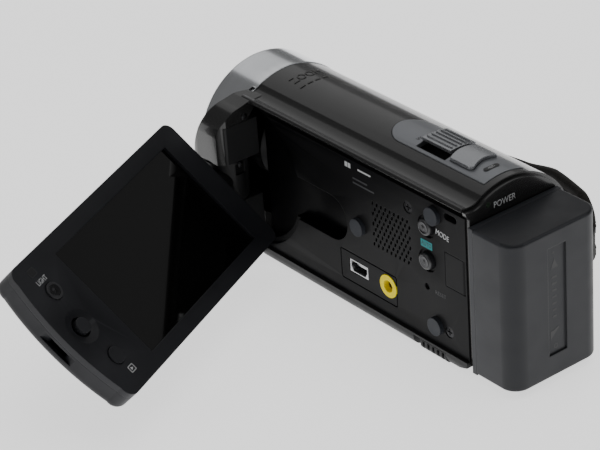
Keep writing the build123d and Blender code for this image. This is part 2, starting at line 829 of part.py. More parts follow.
with BuildPart() as tripod_bush:
    with Locations((0, 0, 4.0)):
        Cylinder(6.15, 8.0)
    with Locations((0, 0, 2.2)):
        Cylinder(8.5, 1.2)
    with Locations((0, 0, 3.25)):
        Cylinder(3.1, 6.5, mode=Mode.SUBTRACT)
tripod_bush.part.label = "tripod_bush"
export_step(tripod_bush.part, "parts/tripod_bush.step")

# screws of the case, their heads sunk in their holes
with BuildPart() as case_screws:
    for x, y in ((-9, 8), (7, 30), (-11, 30), (9, -43), (-11, -43)):
        with Locations((x, y, 0.9)):
            Cylinder(1.65, 1.2)
        with Locations((x, y, 3.4)):
            Cylinder(0.8, 3.8)
        with Locations((x, y, 0.35)):
            Box(1.8, 0.45, 0.6, mode=Mode.SUBTRACT)
            Box(0.45, 1.8, 0.6, mode=Mode.SUBTRACT)
    for y, z in side_screw_places:
        with Locations((floor_x - 0.55, y, z)):
            Cylinder(1.7, 0.7, rotation=(0, 90, 0))
        with Locations((floor_x - 2.6, y, z)):
            Cylinder(0.8, 3.6, rotation=(0, 90, 0))
        with Locations((floor_x - 0.2, y, z)):
            Box(0.6, 2.0, 0.45, mode=Mode.SUBTRACT)
            Box(0.6, 0.45, 2.0, mode=Mode.SUBTRACT)
case_screws.part.label = "case_screws"
export_step(case_screws.part, "parts/case_screws.step")

# card slot and its door
with BuildPart() as card_slot:
    with Locations(((card_low_x + card_high_x) / 2, (card_front + card_back) / 2, 6.4)):
        Box(20.5, 24.0, 6.8)
        Box(16.4, 30.0, 2.4, mode=Mode.SUBTRACT)
card_slot.part.label = "card_slot"
export_step(card_slot.part, "parts/card_slot.step")

card_pin_x = card_low_x + 0.9
with BuildPart() as card_door:
    with Locations(((card_pin_x + card_high_x) / 2, (card_front + card_back) / 2, 0.75)):
        Box(card_high_x - card_pin_x, card_back - card_front, 1.3)
    with Locations((card_pin_x, (card_front + card_back) / 2, 0.85)):
        Cylinder(0.75, card_back - card_front, rotation=(90, 0, 0))
        Cylinder(0.35, 40, rotation=(90, 0, 0), mode=Mode.SUBTRACT)
card_door.part.label = "card_door"
export_step(card_door.part, "parts/card_door.step")

# battery release lever with cross ribs
with BuildPart() as battery_release_lever:
    with Locations(((lever_inner + 16.2) / 2, (lever_front + lever_back) / 2, 1.95)):
        Box(16.2 - lever_inner, lever_back - lever_front, 3.3)
    low_edges = battery_release_lever.edges().filter_by(Axis.Y).group_by(Axis.Z)[0]
    fillet(low_edges.sort_by(Axis.X)[-1], 1.8)
    with Locations((15.6, (lever_front + lever_back) / 2, 1.6)):
        with GridLocations(1, 2.0, 1, 5):
            Box(3.0, 0.9, 3.4, mode=Mode.SUBTRACT)
battery_release_lever.part.label = "battery_release_lever"
export_step(battery_release_lever.part, "parts/battery_release_lever.step")

# ------------------------------------------------------------- side panel fittings
for part_name, place in (("mode_button", mode_place), ("auto_button", auto_place)):
    with BuildPart() as button:
        with BuildSketch(upright(floor_x - 2.4)):
            with Locations(place):
                Circle(button_r)
        extrude(amount=3.6)
        fillet(button.edges().filter_by(GeomType.CIRCLE).sort_by(Axis.X)[-1], 0.6)
    button.part.label = part_name
    export_step(button.part, f"parts/{part_name}.step")

with BuildPart() as reset_button:
    with BuildSketch(upright(floor_x - 2.8)):
        with Locations(reset_place):
            Circle(0.9)
    extrude(amount=2.0)
reset_button.part.label = "reset_button"
export_step(reset_button.part, "parts/reset_button.step")

with BuildPart() as switch_boards:
    with Locations((floor_x - 3.8, 28.2, 30.5)):
        Box(0.8, 7.0, 26.0)
    with BuildSketch(across(40)):
        with BuildLine():
            ring_sector(barrel_in - 2.2, barrel_in - 1.0, 66, 112)
        make_face()
    extrude(amount=32)
switch_boards.part.label = "switch_boards"
export_step(switch_boards.part, "parts/switch_boards.step")

with BuildPart() as rubber_pads:
    for place in pad_places:
        with BuildSketch(upright(floor_x)):
            with Locations(place):
                Circle(2.65)
        extrude(amount=1.3)
rubber_pads.part.label = "rubber_pads"
export_step(rubber_pads.part, "parts/rubber_pads.step")

with BuildPart() as usb_socket:
    with BuildSketch(upright(7.4)):
        with Locations(usb_place):
            Rectangle(7.8, 4.0)
    extrude(amount=floor_x - 0.1 - 7.4)
    with BuildSketch(upright(8.2)):
        with BuildLine():
            Polyline(
                (usb_place[0] - 3.4, usb_place[1] + 1.6),
                (usb_place[0] + 3.4, usb_place[1] + 1.6),
                (usb_place[0] + 3.4, usb_place[1] - 0.2),
                (usb_place[0] + 2.5, usb_place[1] - 1.6),
                (usb_place[0] - 2.5, usb_place[1] - 1.6),
                (usb_place[0] - 3.4, usb_place[1] - 0.2),
                (usb_place[0] - 3.4, usb_place[1] + 1.6),
            )
        make_face()
    extrude(amount=10, mode=Mode.SUBTRACT)
    with Locations((11.0, usb_place[0], usb_place[1] + 0.2)):
        Box(6.0, 4.6, 0.8)
usb_socket.part.label = "usb_socket"
export_step(usb_socket.part, "parts/usb_socket.step")

jack_r = 1.8
with BuildPart() as av_jack:
    with BuildSketch(upright(0.4)):
        with Locations(jack_place):
            Circle(3.5)
    extrude(amount=floor_x - 1.5 - 0.4)
    with BuildSketch(upright(1.4)):
        with Locations(jack_place):
            Circle(jack_r)
    extrude(amount=20, mode=Mode.SUBTRACT)
av_jack.part.label = "av_jack"
export_step(av_jack.part, "parts/av_jack.step")

with BuildPart() as av_jack_ring:
    with BuildSketch(upright(floor_x - 1.5)):
        with Locations(jack_place):
            Circle(3.5)
            Circle(jack_r, mode=Mode.SUBTRACT)
    extrude(amount=1.7)
av_jack_ring.part.label = "av_jack_ring"
export_step(av_jack_ring.part, "parts/av_jack_ring.step")

with BuildPart() as speaker:
    with BuildSketch(upright(10.9)):
        with Locations(speaker_place):
            Circle(7.6)
    extrude(amount=floor_x - floor_t - 10.9)
speaker.part.label = "speaker"
export_step(speaker.part, "parts/speaker.step")

with BuildPart() as dc_jack:
    with BuildSketch(upright(5.4)):
        with Locations((38.9, 30.1)):
            RectangleRounded(6.0, 7.2, 0.8)
    extrude(amount=7.4)
    with BuildSketch(upright(6.4)):
        with Locations((38.9, 30.1)):
            Circle(2.2)
    extrude(amount=10, mode=Mode.SUBTRACT)
    with Locations((9.0, 38.9, 30.1)):
        Cylinder(0.6, 6.0, rotation=(0, 90, 0))
dc_jack.part.label = "dc_jack"
export_step(dc_jack.part, "parts/dc_jack.step")

# hinged flap over the power socket
with BuildPart() as jack_flap:
    with BuildSketch(upright(floor_x - 1.5)):
        with Locations(((flap_front + flap_pin_y) / 2, (flap_low + flap_high) / 2)):
            Rectangle(flap_pin_y - flap_front, flap_high - flap_low)
    extrude(amount=1.5)
    with Locations((flap_pin_x + 0.1, flap_pin_y, (flap_low + flap_high) / 2)):
        Cylinder(0.9, flap_high - flap_low)
    with Locations((flap_pin_x + 0.1, flap_pin_y, (flap_low + flap_high) / 2)):
        Cylinder(0.4, 20, mode=Mode.SUBTRACT)
jack_flap.part.label = "jack_flap"
export_step(jack_flap.part, "parts/jack_flap.step")

with BuildPart() as door_pins:
    with Locations((flap_pin_x + 0.1, flap_pin_y, (flap_low + flap_high) / 2)):
        Cylinder(0.37, flap_high - flap_low + 2 * gap)
    with Locations((card_pin_x, (card_front + card_back) / 2, 0.85)):
        Cylinder(0.32, card_back - card_front + 2 * gap, rotation=(90, 0, 0))
door_pins.part.label = "door_pins"
export_step(door_pins.part, "parts/door_pins.step")

# -------------------------------------------------------------------- hand strap
lug_t = 2.2
front_lug = (-32.0, 12.5, 31.5, -28.2)       # y, bottom, top, outer x
rear_lug = (38.3, 11.5, 22.5, -29.7)
with BuildPart() as strap_lugs:
    for y, low, high, outer in (front_lug, rear_lug):
        with BuildSketch(across(y + lug_t / 2)):
            with Locations(((outer - 20.6) / 2, (low + high) / 2)):
                RectangleRounded(-20.6 - outer, high - low, 1.0)
            with Locations(((outer + 1.3 + right_x - 0.8) / 2, (low + high) / 2)):
                Rectangle(right_x - 0.8 - outer - 1.3, high - low - 3.0, mode=Mode.SUBTRACT)
        extrude(amount=lug_t)
strap_lugs.part.label = "strap_lugs"
export_step(strap_lugs.part, "parts/strap_lugs.step")

strap_outer = [(-28.9, -33.0), (-39.5, -20.0), (-45.6, 4.0), (-44.0, 27.0), (-38.0, 37.6), (-30.8, 40.4)]
strap_inner = [(-30.5, 37.9), (-36.6, 35.4), (-41.7, 26.0), (-43.1, 4.0), (-37.4, -18.6), (-28.6, -30.3)]
with BuildPart() as hand_strap:
    with BuildSketch(level(0)):
        with BuildLine():
            Spline(*strap_outer)
            Line(strap_outer[-1], strap_inner[0])
            Spline(*strap_inner)
            Line(strap_inner[-1], strap_outer[0])
        make_face()
    extrude(amount=50)
    # the band runs down toward the rear and narrows to its webbing at both ends
    with BuildSketch(upright(-60)):
        with BuildLine():
            Spline((-34, 30.0), (-12, 26.0), (3, 25.4), (14, 27.2), (27, 26.0), (41, 20.5))
            Line((41, 20.5), (41, 13.0))
            Spline((41, 13.0), (20, 4.6), (-10, 4.4), (-34, 14.0))
            Line((-34, 14.0), (-34, 30.0))
        make_face()
    extrude(amount=60, mode=Mode.INTERSECT)
hand_strap.part.label = "hand_strap"
export_step(hand_strap.part, "parts/hand_strap.step")

# ============================================================= screen hinge, fixed part
block_low = 9.3
block_high = 46.0
pin_top = 42.5
knuckle_low = tilt_z - knuckle_h / 2
knuckle_high = tilt_z + knuckle_h / 2
block_inner_r = block_r - 0.1
corner_x = sqrt(block_inner_r**2 - (block_y - 0.1 - swing_y) ** 2)
block_x = 26.15
side_y = sqrt(block_inner_r**2 - (block_x - swing_x) ** 2)
corner_mid = (corner_x + block_x - swing_x) / 2
with BuildPart() as hinge_blocks:
    for low, high in ((block_low, knuckle_low - 0.2), (knuckle_high + 0.2, block_high)):
        with BuildSketch(level(low)):
            with BuildLine():
                Polyline(
                    (14.5, block_y - 0.1),
                    (14.5, -56.0),
                    (17.6, -58.3),
                    (block_x, -58.3),
                    (block_x, swing_y + side_y),
                )
                ThreePointArc(
                    (block_x, swing_y + side_y),
                    (swing_x + corner_mid, swing_y + sqrt(block_inner_r**2 - corner_mid**2)),
                    (swing_x + corner_x, block_y - 0.1),
                )
                Line((swing_x + corner_x, block_y - 0.1), (14.5, block_y - 0.1))
            make_face()
        extrude(amount=high - low)
    with BuildSketch(upright(0)):
        with BuildLine():
            behind_edge(housing_wall + 0.1)
        make_face()
    extrude(amount=60, mode=Mode.INTERSECT)
    with BuildSketch(level(41.9)):
        with BuildLine():
            shoulder_edge(housing_wall + 0.1)
        make_face()
    extrude(amount=20, mode=Mode.SUBTRACT)
    # hole of the swing pins
    with Locations((swing_x, swing_y, (block_low + pin_top) / 2)):
        Cylinder(1.6, pin_top - block_low, mode=Mode.SUBTRACT)
hinge_blocks.part.label = "hinge_blocks"
export_step(hinge_blocks.part, "parts/hinge_blocks.step")

pin_reach = 3.4          # how near the swing pins come to the tilt axis
with BuildPart() as swing_pins:
    with Locations((swing_x, swing_y, (block_low + tilt_z - pin_reach) / 2)):
        Cylinder(1.6, tilt_z - pin_reach - block_low)
    with Locations((swing_x, swing_y, (pin_top + tilt_z + pin_reach) / 2)):
        Cylinder(1.6, pin_top - tilt_z - pin_reach)
swing_pins.part.label = "swing_pins"
export_step(swing_pins.part, "parts/swing_pins.step")

# ---------------------------------------------------------- screen hinge, moving part
with BuildPart() as lcd_knuckle:
    with Locations(Location(hinge_point)):
        Cylinder(knuckle_r, knuckle_h)
    with BuildSketch(Plane(origin=hinge_point, x_dir=(0, 0, 1), z_dir=lcd_u)):
        Circle(4.4)
    extrude(amount=7.9)
    with Locations(Location(hinge_point + Vector(0, 0, 6))):
        Cylinder(1.6 + fit, 5.4, mode=Mode.SUBTRACT)
    with Locations(Location(hinge_point - Vector(0, 0, 6))):
        Cylinder(1.6 + fit, 5.4, mode=Mode.SUBTRACT)
    with BuildSketch(Plane(origin=hinge_point - lcd_u * 5.2, x_dir=(0, 0, 1), z_dir=lcd_u)):
        Circle(2.7 + fit)
    extrude(amount=20, mode=Mode.SUBTRACT)
    # flat that carries the knuckle's screw
    with Locations(Location(hinge_point + Vector(-0.6, 6.4, 3.9))):
        Box(3.4, 1.0, 3.4, mode=Mode.SUBTRACT)
lcd_knuckle.part.label = "lcd_knuckle"
export_step(lcd_knuckle.part, "parts/lcd_knuckle.step")

with BuildPart() as lcd_tilt_sleeve:
    with BuildSketch(Plane(origin=hinge_point - lcd_u * 5.0, x_dir=(0, 0, 1), z_dir=lcd_u)):
        Circle(2.7)
        Circle(2.0 + fit, mode=Mode.SUBTRACT)
    extrude(amount=12.9)
lcd_tilt_sleeve.part.label = "lcd_tilt_sleeve"
export_step(lcd_tilt_sleeve.part, "parts/lcd_tilt_sleeve.step")

with BuildPart() as lcd_tilt_shaft:
    with BuildSketch(Plane(origin=hinge_point - lcd_u * 4.8, x_dir=(0, 0, 1), z_dir=lcd_u)):
        Circle(2.0)
    extrude(amount=19.6)
    with BuildSketch(lcd_level(0.7)):
        with Locations((12.4, 0)):
            Rectangle(4.4, 22)
    extrude(amount=1.0)
lcd_tilt_shaft.part.label = "lcd_tilt_shaft"
export_step(lcd_tilt_shaft.part, "parts/lcd_tilt_shaft.step")

# ---------------------------------------------------------------- screen panel
def panel_outline(inset):
    """Outline of the panel, drawn in the panel's plane and drawn in by inset all round."""
    near = lcd_near + inset
    far = lcd_far - inset
    half = lcd_half - inset
    corner = 3.0 - inset
    bow = far + 0.35
    bow_end = half - 1.3 * corner
    far_mid = far - 0.3 * corner + 0.1
    high_mid = half - 0.28 * corner
    near_mid = near + 0.293 * corner
    side_mid = half - 0.293 * corner
    Line((near + corner, -half), (far - corner, -half))
    ThreePointArc((far - corner, -half), (far_mid, -high_mid), (bow, -bow_end))
    ThreePointArc((bow, -bow_end), (far + lcd_bulge, 0), (bow, bow_end))
    ThreePointArc((bow, bow_end), (far_mid, high_mid), (far - corner, half))
    Line((far - corner, half), (near + corner, half))
    ThreePointArc((near + corner, half), (near_mid, side_mid), (near, half - corner))
    Line((near, half - corner), (near, -half + corner))
    ThreePointArc((near, -half + corner), (near_mid, -side_mid), (near + corner, -half))


light_place = (89.6, 11.2)
selector_place = (91.4, -0.4)
view_place = (90.1, -12.0)
lcd_button_r = 2.5
dish_ball_r = 17.0       # ball that hollows the rest round the selector
gimbal_z = -1.85         # depth of the selector's rocking axes
rock_pin_r = 0.25
window_mid = ((window_near + window_far) / 2, (window_low + window_high) / 2)
window_size = (window_far - window_near, window_high - window_low)

with BuildPart() as lcd_bezel:
    with BuildSketch(lcd_level(lcd_face)):
        with BuildLine():
            panel_outline(0)
        make_face()
    extrude(amount=lcd_seam - lcd_face)
    with BuildSketch(lcd_level(lcd_face - 1)):
        with Locations(window_mid):
            Rectangle(*window_size)
        with Locations(light_place, view_place):
            Circle(lcd_button_r + gap)
        with Locations(selector_place):
            Circle(2.9)
    extrude(amount=6, mode=Mode.SUBTRACT)
    # seat of the glass
    with BuildSketch(lcd_level(lcd_face + 1.0)):
        with Locations(window_mid):
            Rectangle(window_size[0] + 3, window_size[1] + 3)
    extrude(amount=4, mode=Mode.SUBTRACT)
    # dished finger rest round the selector
    with Locations(lcd_place(*selector_place, lcd_face - dish_ball_r + 0.8)):
        Sphere(dish_ball_r, mode=Mode.SUBTRACT)
lcd_bezel.part.label = "lcd_bezel"
export_step(lcd_bezel.part, "parts/lcd_bezel.step")

with BuildPart() as lcd_glass:
    with BuildSketch(lcd_level(lcd_face + 1.0)):
        with Locations(window_mid):
            Rectangle(window_size[0] + 2.8, window_size[1] + 2.8)
    extrude(amount=0.8)
lcd_glass.part.label = "lcd_glass"
export_step(lcd_glass.part, "parts/lcd_glass.step")

with BuildPart() as lcd_module:
    with BuildSketch(lcd_level(lcd_face + 1.85)):
        with Locations(window_mid):
            Rectangle(window_size[0] + 1, window_size[1] + 1)
    extrude(amount=2.2)
lcd_module.part.label = "lcd_module"
export_step(lcd_module.part, "parts/lcd_module.step")

with BuildPart() as lcd_back_cover:
    with BuildSketch(lcd_level(lcd_seam)):
        with BuildLine():
            panel_outline(0)
        make_face()
    extrude(amount=lcd_back - lcd_seam)
    # rounded outer edge
    outward = Axis(origin=(0, 0, 0), direction=tuple(lcd_plane.z_dir))
    fillet(lcd_back_cover.faces().sort_by(outward)[-1].edges(), 2.6)
    with BuildSketch(lcd_level(lcd_seam)):
        with BuildLine():
            panel_outline(1.3)
        make_face()
    extrude(amount=lcd_back - lcd_seam - 1.6, mode=Mode.SUBTRACT)
    # seat of the tilt shaft
    with BuildSketch(Plane(origin=hinge_point + lcd_u * 6, x_dir=(0, 0, 1), z_dir=lcd_u)):
        Circle(2.03)
    extrude(amount=5, mode=Mode.SUBTRACT)
    # finger scoop in the free end
    with BuildSketch(lcd_level(lcd_seam + 0.9)):
        with Locations((lcd_far + lcd_bulge + 9.3, 0)):
            Circle(11.0)
    extrude(amount=2.6, mode=Mode.SUBTRACT)
lcd_back_cover.part.label = "lcd_back_cover"
export_step(lcd_back_cover.part, "parts/lcd_back_cover.step")

with BuildPart() as lcd_boards:
    with BuildSketch(lcd_level(-0.4)):
        with Locations((51.0, 0)):
            Rectangle(64, 36)
    extrude(amount=1.0)
    with BuildSketch(lcd_level(-1.2)):
        with Locations((89.6, 0)):
            Rectangle(9.0, 34)
    extrude(amount=0.9)
lcd_boards.part.label = "lcd_boards"
export_step(lcd_boards.part, "parts/lcd_boards.step")

for part_name, place in (("light_button", light_place), ("view_button", view_place)):
    with BuildPart() as button:
        with BuildSketch(lcd_level(lcd_face - 0.5)):
            with Locations(place):
                Circle(lcd_button_r)
        extrude(amount=3.0)
    button.part.label = part_name
    export_step(button.part, f"parts/{part_name}.step")

# four-way selector: a rocking ring under a stick that rocks the other way
with BuildPart() as selector_gimbal:
    with BuildSketch(lcd_level(-2.2)):
        with Locations(selector_place):
            Rectangle(5.6, 5.6)
            Rectangle(3.6, 3.6, mode=Mode.SUBTRACT)
    extrude(amount=0.7)
    # its two pins, along the panel
    for side in (-1, 1):
        with Locations(lcd_place(selector_place[0] + side * 3.0, selector_place[1], gimbal_z)):
            Cylinder(rock_pin_r, 0.9, rotation=(0, 90, 0))
selector_gimbal.part.label = "selector_gimbal"
export_step(selector_gimbal.part, "parts/selector_gimbal.step")

with BuildPart() as multi_selector:
    with BuildSketch(lcd_level(lcd_face - 0.7)):
        with Locations(selector_place):
            Circle(2.3)
    extrude(amount=1.5)
    with BuildSketch(lcd_level(lcd_face + 0.6)):
        with Locations(selector_place):
            Circle(1.3)
    extrude(amount=2.3)
    # its two pins, across the panel
    for side in (-1, 1):
        with Locations(lcd_place(selector_place[0], selector_place[1] + side * 1.4, gimbal_z)):
            Cylinder(rock_pin_r, 0.7, rotation=(90, 0, 0))
multi_selector.part.label = "multi_selector"
export_step(multi_selector.part, "parts/multi_selector.step")

# -------------------------------------------------------------------- battery
base_back = battery_front + 1.7
corner_r = 5.0


def battery_outline(inset, front):
    """Plan of the battery from front to back, drawn in by inset; its rear corners are round."""
    half = battery_half - inset
    back = battery_back - inset
    radius = corner_r - inset
    Line((-half, front), (half, front))
    Line((half, front), (half, back - radius))
    side_mid = half - 0.293 * radius
    back_mid = back - 0.293 * radius
    ThreePointArc((half, back - radius), (side_mid, back_mid), (half - radius, back))
    Line((half - radius, back), (-half + radius, back))
    ThreePointArc((-half + radius, back), (-side_mid, back_mid), (-half, back - radius))
    Line((-half, back - radius), (-half, front))


with BuildPart() as battery_case:
    with BuildSketch(level(battery_low)):
        with BuildLine():
            battery_outline(0, base_back)
        make_face()
    extrude(amount=battery_high - battery_low)
    for end in (0, -1):
        rim = battery_case.faces().sort_by(Axis.Z)[end].edges()
        fillet(rim.filter_by(lambda e: e.center().Y > base_back + 0.1), 0.9)
    with BuildSketch(level(battery_low + 1.2)):
        with BuildLine():
            battery_outline(1.2, base_back)
        make_face()
    extrude(amount=battery_high - battery_low - 2.4, mode=Mode.SUBTRACT)
    # recess of the rating label
    with BuildSketch(across(battery_back - 0.5)):
        with Locations((0, 25.6)):
            Rectangle(6.4, 32.8)
    extrude(amount=-2, mode=Mode.SUBTRACT)
battery_case.part.label = "battery_case"
export_step(battery_case.part, "parts/battery_case.step")

with BuildPart() as battery_base:
    with BuildSketch(level(battery_low)):
        with Locations((0, (battery_front + base_back) / 2)):
            Rectangle(2 * battery_half, base_back - battery_front)
    extrude(amount=battery_high - battery_low)
    with Locations((0, battery_front - 0.65, (shoe_low + shoe_high) / 2)):
        Box(2 * shoe_half, 1.3, shoe_high - shoe_low)
    with Locations((0, battery_front - 0.9, 11)):
        Box(8.8, 1.8, 8, mode=Mode.SUBTRACT)
battery_base.part.label = "battery_base"
export_step(battery_base.part, "parts/battery_base.step")

with BuildPart() as battery_cells:
    for x in (-7.2, 7.2):
        with Locations((x, (base_back + battery_back - 1.2) / 2, (battery_low + battery_high) / 2)):
            Cylinder(6.6, battery_high - battery_low - 2.6)
battery_cells.part.label = "battery_cells"
export_step(battery_cells.part, "parts/battery_cells.step")
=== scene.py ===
import bmesh
import bpy
import json
import math
from mathutils import Matrix, Vector


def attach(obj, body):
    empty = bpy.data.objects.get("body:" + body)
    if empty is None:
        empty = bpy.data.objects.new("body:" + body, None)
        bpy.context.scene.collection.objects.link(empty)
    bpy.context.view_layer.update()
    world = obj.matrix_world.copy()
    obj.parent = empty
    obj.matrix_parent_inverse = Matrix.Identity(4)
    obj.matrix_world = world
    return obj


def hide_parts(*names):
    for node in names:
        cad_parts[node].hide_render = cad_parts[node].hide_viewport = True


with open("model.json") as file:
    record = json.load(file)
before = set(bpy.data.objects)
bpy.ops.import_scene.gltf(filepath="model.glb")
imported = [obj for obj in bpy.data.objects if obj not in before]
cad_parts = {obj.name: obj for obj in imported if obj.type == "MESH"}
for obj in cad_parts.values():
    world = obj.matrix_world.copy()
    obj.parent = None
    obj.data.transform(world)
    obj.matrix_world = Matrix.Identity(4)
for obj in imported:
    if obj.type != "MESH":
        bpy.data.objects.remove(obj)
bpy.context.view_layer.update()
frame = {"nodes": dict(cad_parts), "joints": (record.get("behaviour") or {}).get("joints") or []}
nodes = frame["nodes"]
scene = bpy.context.scene
MM = 0.001

# ------------------------------------------------------------------ directions
LENS_Z = 32.6 * MM
FLOOR_X = 15.4 * MM
REAR_Y = 45.2 * MM
joints = {j["name"]: j for j in frame["joints"]}
hinge = Vector(joints["lcd_tilt"]["pos_m"])
lcd_u = Vector(joints["lcd_tilt"]["axis"]).normalized()
lcd_in = Vector(joints["light_press"]["axis"]).normalized()
lcd_v = lcd_in.cross(lcd_u).normalized()
BEZEL_FACE = -4.6         # c of the bezel's face, in mm
COVER_R = 22.87           # radius of printing on the round top, in mm
BAND_SIDE = 0.12          # across the strap, where its outer face lies


def lcd_point(a, b, c):
    """Point of the screen panel: a along it from the hinge, b up it, c toward its back, in mm."""
    return hinge + (lcd_u * a + lcd_v * b + lcd_in * c) * MM


def frame_at(origin, x, y):
    """Matrix with those local x and y directions and that origin."""
    x = Vector(x).normalized()
    z = x.cross(Vector(y)).normalized()
    y = z.cross(x)
    m = Matrix((x, y, z)).transposed().to_4x4()
    m.translation = Vector(origin)
    return m


# ---------------------------------------------------------------------- camera
def make_camera():
    az, el, roll = math.radians(36.690), math.radians(29.578), math.radians(-4.170)
    back = Vector((math.sin(az) * math.cos(el), math.cos(az) * math.cos(el), math.sin(el)))
    fwd = -back
    right = fwd.cross(Vector((0, 0, 1))).normalized()
    up = right.cross(fwd)
    x = right * math.cos(roll) + up * math.sin(roll)
    y = up * math.cos(roll) - right * math.sin(roll)
    cam = bpy.data.objects.new("camera", bpy.data.cameras.new("camera"))
    scene.collection.objects.link(cam)
    m = Matrix((x, y, back)).transposed().to_4x4()
    m.translation = Vector((0.39524, 0.48215, 0.37885))
    cam.matrix_world = m
    cam.data.sensor_width = 36
    cam.data.lens = 154.07
    cam.data.clip_start = 0.01
    cam.data.clip_end = 20
    scene.camera = cam


make_camera()


# ------------------------------------------------------------------- materials
class Graph:
    """A material under construction, with its Principled shader."""

    def __init__(self, name):
        self.mat = bpy.data.materials.new(name)
        self.mat.use_nodes = True
        self.tree = self.mat.node_tree
        self.bsdf = self.tree.nodes["Principled BSDF"]
        self.coord = self.node("ShaderNodeTexCoord").outputs["Object"]

    def node(self, kind, **values):
        n = self.tree.nodes.new(kind)
        for key, value in values.items():
            setattr(n, key, value)
        return n

    def link(self, a, b):
        self.tree.links.new(a, b)

    def noise(self, scale, detail=3.0, stretch=None):
        n = self.node("ShaderNodeTexNoise")
        n.inputs["Scale"].default_value = scale
        n.inputs["Detail"].default_value = detail
        vector = self.coord
        if stretch:
            m = self.node("ShaderNodeMapping")
            m.inputs["Scale"].default_value = stretch
            self.link(self.coord, m.inputs["Vector"])
            vector = m.outputs["Vector"]
        self.link(vector, n.inputs["Vector"])
        return n.outputs["Fac"]

    def spread(self, source, low, high, start=0.3, end=0.7):
        m = self.node("ShaderNodeMapRange")
        m.inputs["From Min"].default_value = start
        m.inputs["From Max"].default_value = end
        m.inputs["To Min"].default_value = low
        m.inputs["To Max"].default_value = high
        self.link(source, m.inputs["Value"])
        return m.outputs["Result"]

    def mix(self, fac, a, b):
        m = self.node("ShaderNodeMix", data_type="RGBA")
        self.link(fac, m.inputs[0])
        for value, socket in ((a, m.inputs[6]), (b, m.inputs[7])):
            if isinstance(value, tuple):
                socket.default_value = (*value, 1)
            else:
                self.link(value, socket)
        return m.outputs[2]

    def set(self, **values):
        for key, value in values.items():
            socket = self.bsdf.inputs[key.replace("_", " ")]
            if isinstance(value, (int, float)):
                socket.default_value = value
            elif isinstance(value, tuple):
                socket.default_value = (*value, 1)
            else:
                self.link(value, socket)
        return self

    def relief(self, height, strength, distance, edge=0.00025):
        bevel = self.node("ShaderNodeBevel", samples=4)
        bevel.inputs["Radius"].default_value = edge
        bump = self.node("ShaderNodeBump")
        bump.inputs["Strength"].default_value = strength
        bump.inputs["Distance"].default_value = distance
        self.link(height, bump.inputs["Height"])
        self.link(bevel.outputs["Normal"], bump.inputs["Normal"])
        self.link(bump.outputs["Normal"], self.bsdf.inputs["Normal"])
        return self

    def worn(self, base, bright, start=0.53, end=0.62):
        """Colour that is a little brighter along sharp edges."""
        edge = self.spread(self.node("ShaderNodeNewGeometry").outputs["Pointiness"], 0, 1, start, end)
        return self.mix(edge, base, bright)


def moulded(name, colour, rough, grain=2600, strength=0.12, coat=0.0, edge=0.00025, metallic=0.0, spec=0.5):
    g = Graph(name)
    broad = g.noise(45, 4)
    soft = tuple(min(1, c * 1.22 + 0.002) for c in colour)
    base = g.mix(g.spread(broad, 0, 1), colour, soft)
    bright = tuple(min(1, c * 1.6 + 0.012) for c in colour)
    g.set(Base_Color=g.worn(base, bright), Metallic=metallic)
    g.set(Roughness=g.spread(g.noise(160, 5), rough * 0.88, rough * 1.14))
    g.bsdf.inputs["Coat Weight"].default_value = coat
    g.bsdf.inputs["Coat Roughness"].default_value = 0.06
    g.bsdf.inputs["Specular IOR Level"].default_value = spec
    g.relief(g.noise(grain, 2), strength, 0.00004, edge)
    return g.mat


def metal(name, colour, rough, stretch=(1, 1, 1), strength=0.08, edge=0.0002):
    g = Graph(name)
    lines = g.noise(900, 4, stretch)
    dark = tuple(c * 0.82 for c in colour)
    base = g.mix(g.spread(g.noise(60, 3), 0, 1), dark, colour)
    g.set(Base_Color=g.worn(base, tuple(min(1, c * 1.2) for c in colour)), Metallic=1.0)
    g.set(Roughness=g.spread(lines, rough * 0.75, rough * 1.3))
    g.relief(lines, strength, 0.00003, edge)
    return g.mat


def glassy(name, colour, rough=0.04):
    g = Graph(name)
    dust = g.noise(700, 6)
    g.set(Base_Color=g.mix(g.spread(dust, 0, 1, 0.55, 0.8), colour, tuple(c * 1.15 + 0.001 for c in colour)))
    g.set(Roughness=g.spread(g.noise(30, 3), rough * 0.7, rough * 1.5))
    g.bsdf.inputs["Coat Weight"].default_value = 0.4
    g.bsdf.inputs["Coat Roughness"].default_value = 0.02
    g.relief(g.noise(8, 1), 0.01, 0.00002, 0.0001)
    return g.mat


def printed(name, colour, rough=0.5):
    g = Graph(name)
    faded = tuple(c * 0.8 for c in colour)
    g.set(Base_Color=g.mix(g.spread(g.noise(3000, 3), 0, 1, 0.4, 0.75), colour, faded))
    g.set(Roughness=g.spread(g.noise(500, 2), rough * 0.9, rough * 1.1))
    return g.mat


def board(name):
    g = Graph(name)
    brick = g.node("ShaderNodeTexBrick")
    brick.inputs["Scale"].default_value = 260
    brick.inputs["Mortar Size"].default_value = 0.03
    brick.inputs["Color1"].default_value = (0.012, 0.10, 0.045, 1)
    brick.inputs["Color2"].default_value = (0.016, 0.13, 0.055, 1)
    brick.inputs["Mortar"].default_value = (0.05, 0.22, 0.08, 1)
    g.link(g.coord, brick.inputs["Vector"])
    g.set(Base_Color=brick.outputs["Color"], Roughness=0.4)
    g.relief(brick.outputs["Fac"], 0.3, 0.00003)
    return g.mat


